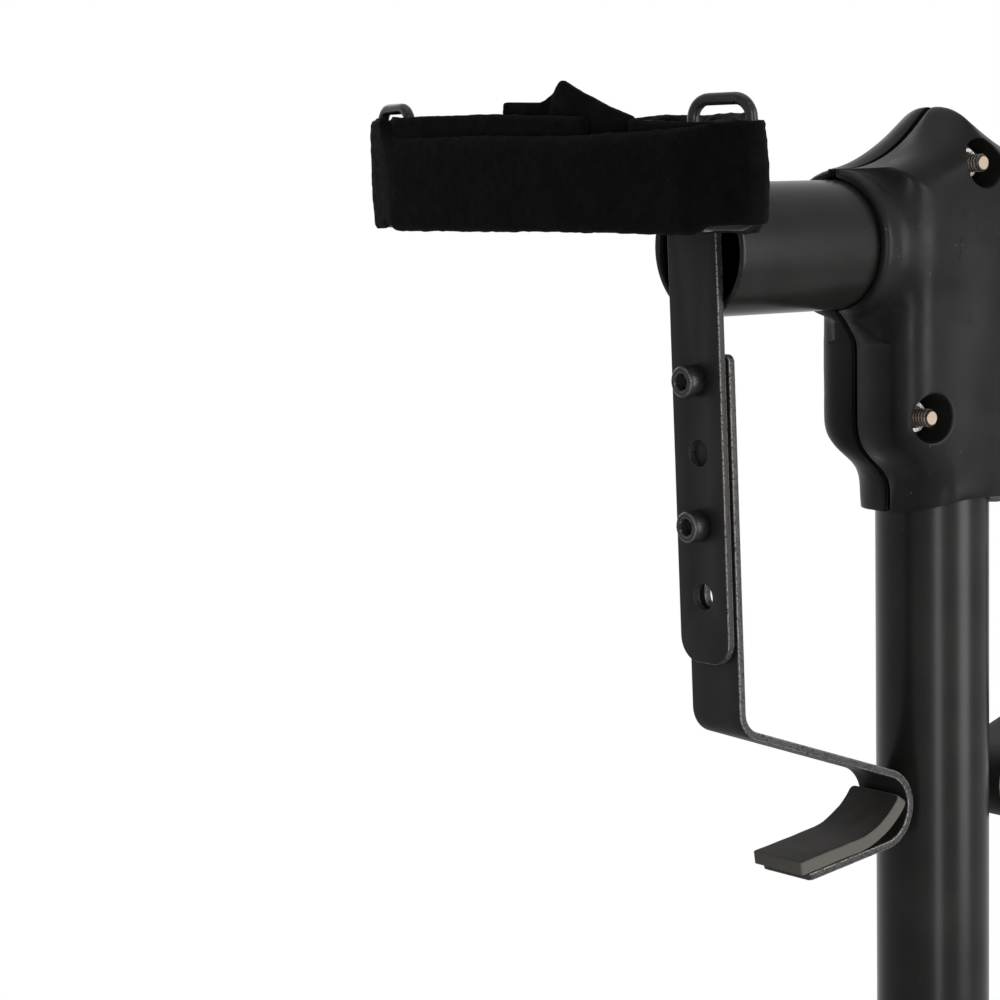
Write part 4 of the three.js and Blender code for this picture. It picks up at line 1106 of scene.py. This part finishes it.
def strap_span(x, v):
    """Lowest and highest edge of the strap by its place along the opening, for its two layers."""
    front = unit((x - STRAP_BACK) / (STRAP_FRONT - STRAP_BACK))
    front = front * front * (3 - 2 * front)
    low, high, back_low, back_high = (np.interp(v, places, edge) for places, edge in STRAP_EDGES)
    return back_low + (low - back_low) * front, back_high + (high - back_high) * front


def strap(side):
    line = strap_line()
    runs = np.gradient(line, axis=0)
    runs /= norms(runs)[:, None]
    shares = [k / 26 for k in range(27)]
    around = [(share, 1) for share in shares] + [(share, -1) for share in reversed(shares)]
    rings = []
    for k, ((x, y), (dx, dy)) in enumerate(zip(line, runs)):
        low, high = strap_span(x, y)
        end = min(1.0, (k + 0.35) / 1.5, (len(line) - 0.65 - k) / 1.5)
        half = STRAP_T / 2 * (0.55 + 0.45 * end)
        ring = []
        for share, face in around:
            edge = min(share, 1 - share) * (high - low)
            thick = half * (0.45 + 0.55 * min(1.0, edge / 1.1) ** 0.5) * face
            z = low + (high - low) * share
            lean = 2.0 * max(0.0, 1 - (high - z) / 7.0) ** 2
            lean += 0.9 * max(0.0, 1 - (z - low) / 4.0) ** 2
            swell = 1.3 * sin(pi * share) * unit((abs(y) - 80) / 14)
            out_x = -lean if x > STRAP_BACK + 1 and abs(y) < 97 else 0.0
            out_y = copysign(swell - lean * unit((abs(y) - 88) / 10), y)
            ring.append(Vector((x - dy * thick + out_x, y + dx * thick + out_y, z)))
        rings.append(ring)
    shell = new_shell()
    skin(shell, rings)
    add_noise(shell, 16, 0.8, 7, lambda c: 0.6 if abs(c.y) < 75 else 0.35)
    add_noise(shell, 1.9, 0.22, 8)
    for vert in shell.verts:
        co = vert.co
        crease = exp(-((co.z - 34.5 - (co.y - 84) * 0.12) / 1.1) ** 2)
        crease *= unit((co.y - 66) / 16)
        co.x -= 0.8 * crease if co.x > STRAP_BACK + 2 else 0.0
        broad = 0.3 * ripple(co.y / 5, co.x, 4)
        co.z += broad + 0.12 * ripple(co.y / 1.3, co.z, 9)
    matrix = HOLDER[side] @ MIRROR[side]
    obj = piece(f"strap_{side}_webbing", shell, matrix, sharp=180)


TAIL_OUTLINE = [(-17.8, 27), (43, 27), (43, 42.4), (31.5, 45.5), (19.5, 49.8), (9.6, 54.0),
                (0.8, 47.5), (-17.8, 48.1)]


def strap_tail(side):
    """Folded end of the strap, standing up behind its back layer."""
    outer = eased(TAIL_OUTLINE + TAIL_OUTLINE[:1], 1.2, 1)[:-1]
    inner = np.array([(v, z) for v in np.arange(-16.5, 43, 1.5) for z in np.arange(28, 54, 1.5)])
    border = np.array([*outer, outer[0]])
    inside = held_by(inner, outer, np.roll(outer, -1, 0))
    inner = inner[inside & (distance_to(inner, [border]) > 1.1)]
    shell = new_shell()
    plate(shell, [outer], -1.0, 1.0, 0.7, 3, extra=inner)
    for vert in shell.verts:
        v, z = vert.co.x, vert.co.y
        fold = 1.1 * exp(-((v - 1.8 - (z - 40) * 0.25) / 1.6) ** 2) * unit((z - 36) / 8)
        crest = 0.9 * unit((z - 44) / 8) * (v > 1)
        vert.co.z += 0.5 * ripple(v / 9, z / 9, 1) - fold - crest
        vert.co.z += 0.25 * ripple(v / 1.8, z / 1.8, vert.co.z)
    place = shift(STRAP_BACK - STRAP_T / 2 - 1.4, 0, 0) @ ACROSS_X
    matrix = HOLDER[side] @ MIRROR[side] @ place
    obj = piece(f"strap_{side}_tail", shell, matrix, sharp=180)


def bar_fasteners(side):
    nut_x = HOOK_OUTER - BAR_T - FIT
    seat_x = BAR_OUTER + FIT
    length = seat_x - nut_x + NUT_H + 1.5
    inward = spin(-pi / 2, "Y")
    for where, z, twist in (("upper", BAR_HOLES[0], 0.3), ("lower", BAR_HOLES[2], 1.1)):
        turn = inward @ spin(twist, "Z")
        head = HOLDER[side] @ shift(seat_x, 0, z) @ turn
        far = HOLDER[side] @ shift(nut_x, 0, z) @ turn
        screw(f"bar_screw_{where}_{side}", length, 3, head, f"bar_bolt_{where}_{side}")
        nut(f"bar_flange_nut_{where}_{side}", far, f"bar_nut_{where}_{side}")


for side in ("left", "right"):
    front = 1 if side == "left" else -1
    for build in (upright_bar, hook_bar, hook_pad, spacer, bar_fasteners, yoke_band, yoke_sleeve):
        build(side)
    wire_ring(f"ring_front_{side}_wire", side, front, f"ring_front_{side}")
    wire_ring(f"ring_back_{side}_wire", side, -front, f"ring_back_{side}")
    strap(side)
    strap_tail(side)


# Clamp on the column, its knob and the boots
def clamp_collar():
    """Collar, split through its ears, as a plate of its plan with the ears cut to their height."""
    low, middle, high = COLLAR_TOP - CLAMP_H, COLLAR_TOP - CLAMP_H / 2, COLLAR_TOP
    lip, bore = 8.5, COLUMN_R + FIT
    start = asin(SLIT / CLAMP_R)
    ring = arc((0, 0), CLAMP_R, start, tau - start, 110)

    def hollow(radius, mouth):
        return arc((0, 0), radius, tau - asin(mouth), asin(mouth), 90)

    shell = new_shell()
    plate(shell, [ring + hollow(bore, SLIT / bore)], low, high - lip, 0.9, 3)
    plate(shell, [ring + hollow(MAST_R + 2 * FIT, SLIT / MAST_R)], high - lip - 0.9, high, 0.9, 3)
    corners = box(CLAMP_R - 4, EAR_REACH, middle - EAR_RISE, middle + EAR_RISE)
    ear = rounded(corners, [0.5, 5, 5, 0.5], 6)
    for sign in (-1, 1):
        near, far = sorted((sign * SLIT, sign * EAR_HALF))
        block = new_shell()
        plate(block, [ear, circle((KNOB_X, middle), STUD_R + FIT, 32)], -far, -near, 0.8, 3)
        block.transform(ALONG_FRONT)
        joined(shell, block)
    piece("clamp_collar_moulding", shell, Matrix.Identity(4))


def guide_bush():
    inner, outer = MAST_R + FIT, COLUMN_R - COLUMN_WALL - FIT
    low, rim = -34, FIT + 2
    corners = [(inner, low), (outer, low), (outer, FIT)]
    corners += [(COLUMN_R, FIT), (COLUMN_R, rim), (inner, rim)]
    shell = new_shell()
    turned(shell, rounded(corners, [0.3, 0.8, 0.1, 0.3, 0.7, 0.5], 3), 72)
    piece("guide_bush_moulding", shell, shift(0, 0, COLUMN_TOP))


def clamp_knob():
    hub, thick, radius = 15, 13, 19

    def lobes(depth):
        return lambda turn: radius * (1 + 0.13 * cos(5 * turn)) - depth

    low = [(4.4, -hub), (8.2, -hub), (9, 0.7 - hub), (9, -2), (9.6, -0.6), (11, 0),
           (lobes(4.0), 0.1), (lobes(1.8), 0.7), (lobes(0.5), 2.0), (lobes(0), 4.2)]
    high = [(lobes(0), -4.0), (lobes(0.5), -2.0), (lobes(1.7), -0.8), (lobes(3.6), -0.15),
            (10.5, 0), (9.3, -0.5), (8.6, -1.6), (4, -1.9), (0.5, -1.9)]
    profile = [(r, hub + z) for r, z in low] + [(r, hub + thick + z) for r, z in high]
    shell = new_shell()
    turned(shell, profile, 120, loop=False)
    turned(shell, [(STUD_R - 0.05, -6), (STUD_R - 0.05, 1)], 28, loop=False)
    studded = new_shell()
    thread(studded, 6, 2 * EAR_HALF + FIT + 2 * NUT_H, STUD_R)
    studded.transform(spin(pi, "X"))
    joined(shell, studded)
    middle = COLLAR_TOP - CLAMP_H / 2
    place = shift(KNOB_X, -EAR_HALF - FIT, middle) @ ALONG_FRONT
    piece("clamp_knob_moulding", shell, place)
    shell = new_shell()
    nut_shell(shell, bolt=STUD_R, outer=NUT_R * STUD_R / BOLT_R, flange=False)
    place = shift(KNOB_X, EAR_HALF + FIT + NUT_H, middle) @ ALONG_FRONT
    piece("clamp_hex_nut", shell, place, "clamp_nut", sharp=30)


def boot_profile(depth):
    half, sole, round_r = 29, 16, BASE_R + BOOT_WALL
    top = sole - BASE_HEIGHT
    points = [(-half, -BASE_HEIGHT), (half, -BASE_HEIGHT), (half, top)]
    points += arc((0, 0), round_r, 0.02, pi - 0.02, 36) + [(-half, top)]
    return inset(rounded(points, [4, 4, 5] + [0] * 37 + [5], 5), depth)


def foot_boot(name, x, end):
    """Boot along +Z from its closed end; its mouth is rolled and its sole is flat on the floor."""
    shell = new_shell()
    rows = [(3.4, 0), (2.0, 0.35), (0.9, 1.1), (0.25, 2.2), (0, 3.6)]
    for z in (14, 24):
        rows += [(0, z), (0.7, z + 1), (0.7, z + 3), (0, z + 4)]
    mouth = [(0, 7), (0.9, 6), (0.9, 4.6), (0, 3.6), (0, 1.4), (0.4, 0.5), (1.2, 0)]
    rows += [(depth, BOOT_L - z) for depth, z in mouth]
    rings = [[(px, py, z) for px, py in boot_profile(depth)] for depth, z in rows]
    bore = [facing(atan2(py, px)) for px, py in boot_profile(0)]
    wall = BASE_R + FIT
    for reach, z in ((BASE_R + 1.6, BOOT_L), (wall + 0.2, BOOT_L - 0.8), (wall, BOOT_L - 2),
                     (wall, BOOT_WALL)):
        rings.append([(c * reach, s * reach, z) for c, s in bore])
    skin(shell, rings)
    place = ALONG_FRONT if end > 0 else spin(pi, "Z") @ ALONG_FRONT
    matrix = shift(x, end * FOOT_LENGTH / 2, BASE_HEIGHT) @ place
    piece(f"{name}_moulding", shell, matrix, name)


clamp_collar()
guide_bush()
clamp_knob()
for side, x in (("left", -FOOT_SPREAD), ("right", FOOT_SPREAD)):
    for where, end in (("front", -1), ("back", 1)):
        foot_boot(f"foot_boot_{where}_{side}", x, end)


# Floor, lamps and background
def seen_by(tree, *rays):
    """1 for the kinds of ray that are named, else 0."""
    first, *others = (add_node(tree, "LightPath", output=ray) for ray in rays)
    for other in others:
        first = math_node(tree, "MAXIMUM", first, other)
    return first


WHITE = (1, 1, 1, 1)
FLOOR_REACH, FLOOR_FADE = 30, (0.75, 2.0)
AMBIENT = 0.2


def add_floor():
    """A pale floor that goes over to white away from the stand, so that it has no edge."""
    mesh = bpy.data.meshes.new("floor")
    corners = box(-FLOOR_REACH, FLOOR_REACH, -FLOOR_REACH, FLOOR_REACH)
    mesh.from_pydata([(x, y, 0) for x, y in corners], [], [(0, 1, 2, 3)])
    link("floor", mesh)
    material, tree, shader = new_material("floor")
    colour = mixed(tree, ramp(tree, grain(tree, 0.004), 0.3, 0.7), 0.80, 0.83)
    feed(shader, {"Roughness": 0.9, "Specular IOR Level": 0.1, "Base Color": colour})
    place = add_node(tree, "NewGeometry", output="Position")
    away = add_node(tree, "VectorMath", {0: place}, "Value", operation="LENGTH")
    seen = seen_by(tree, "Is Camera Ray", "Is Glossy Ray")
    share = math_node(tree, "MULTIPLY", ramp(tree, away, *FLOOR_FADE), seen)
    white = add_node(tree, "Emission", {"Color": WHITE, "Strength": 1.0})
    both = add_node(tree, "MixShader", {0: share, 1: shader.outputs[0], 2: white})
    feed(tree.nodes["Material Output"], {"Surface": both})
    mesh.materials.append(material)


def add_world():
    """White to the eye and in reflections, and a soft light otherwise."""
    world = bpy.data.worlds.new("studio")
    world.use_nodes = True
    tree = world.node_tree
    tree.nodes.clear()
    seen = seen_by(tree, "Is Camera Ray", "Is Glossy Ray", "Is Transmission Ray")
    soft = add_node(tree, "Background", {"Color": WHITE, "Strength": AMBIENT})
    white = add_node(tree, "Background", {"Color": WHITE, "Strength": 1.0})
    both = add_node(tree, "MixShader", {0: seen, 1: soft, 2: white})
    feed(tree.nodes.new("ShaderNodeOutputWorld"), {"Surface": both})
    bpy.context.scene.world = world


def add_lamp(name, place, target, size, power):
    data = bpy.data.lights.new(name, "AREA")
    data.shape = "RECTANGLE"
    data.size, data.size_y = size
    data.energy = power
    lamp = link(name, data)
    aim = Vector(target) - Vector(place)
    turn = aim.to_track_quat("-Z", "Y").to_matrix().to_4x4()
    lamp.matrix_world = Matrix.Translation(place) @ turn
    lamp.visible_camera = False


add_floor()
add_world()
add_lamp("strip", (-0.727, -1.078, 0.75), (0, 0, 0.75), (0.22, 1.1), 10.5)
add_lamp("key", (0.47, -1.2, 0.85), (0, 0, 0.75), (0.5, 1.1), 20.0)
add_lamp("top", (-0.2, 0.2, 2.2), (0, 0, 0.8), (1.0, 1.0), 4.0)
add_lamp("back", (0.4, 1.6, 1.3), (0, 0, 0.6), (0.8, 0.8), 3.0)

bpy.context.scene.view_settings.view_transform = "Standard"
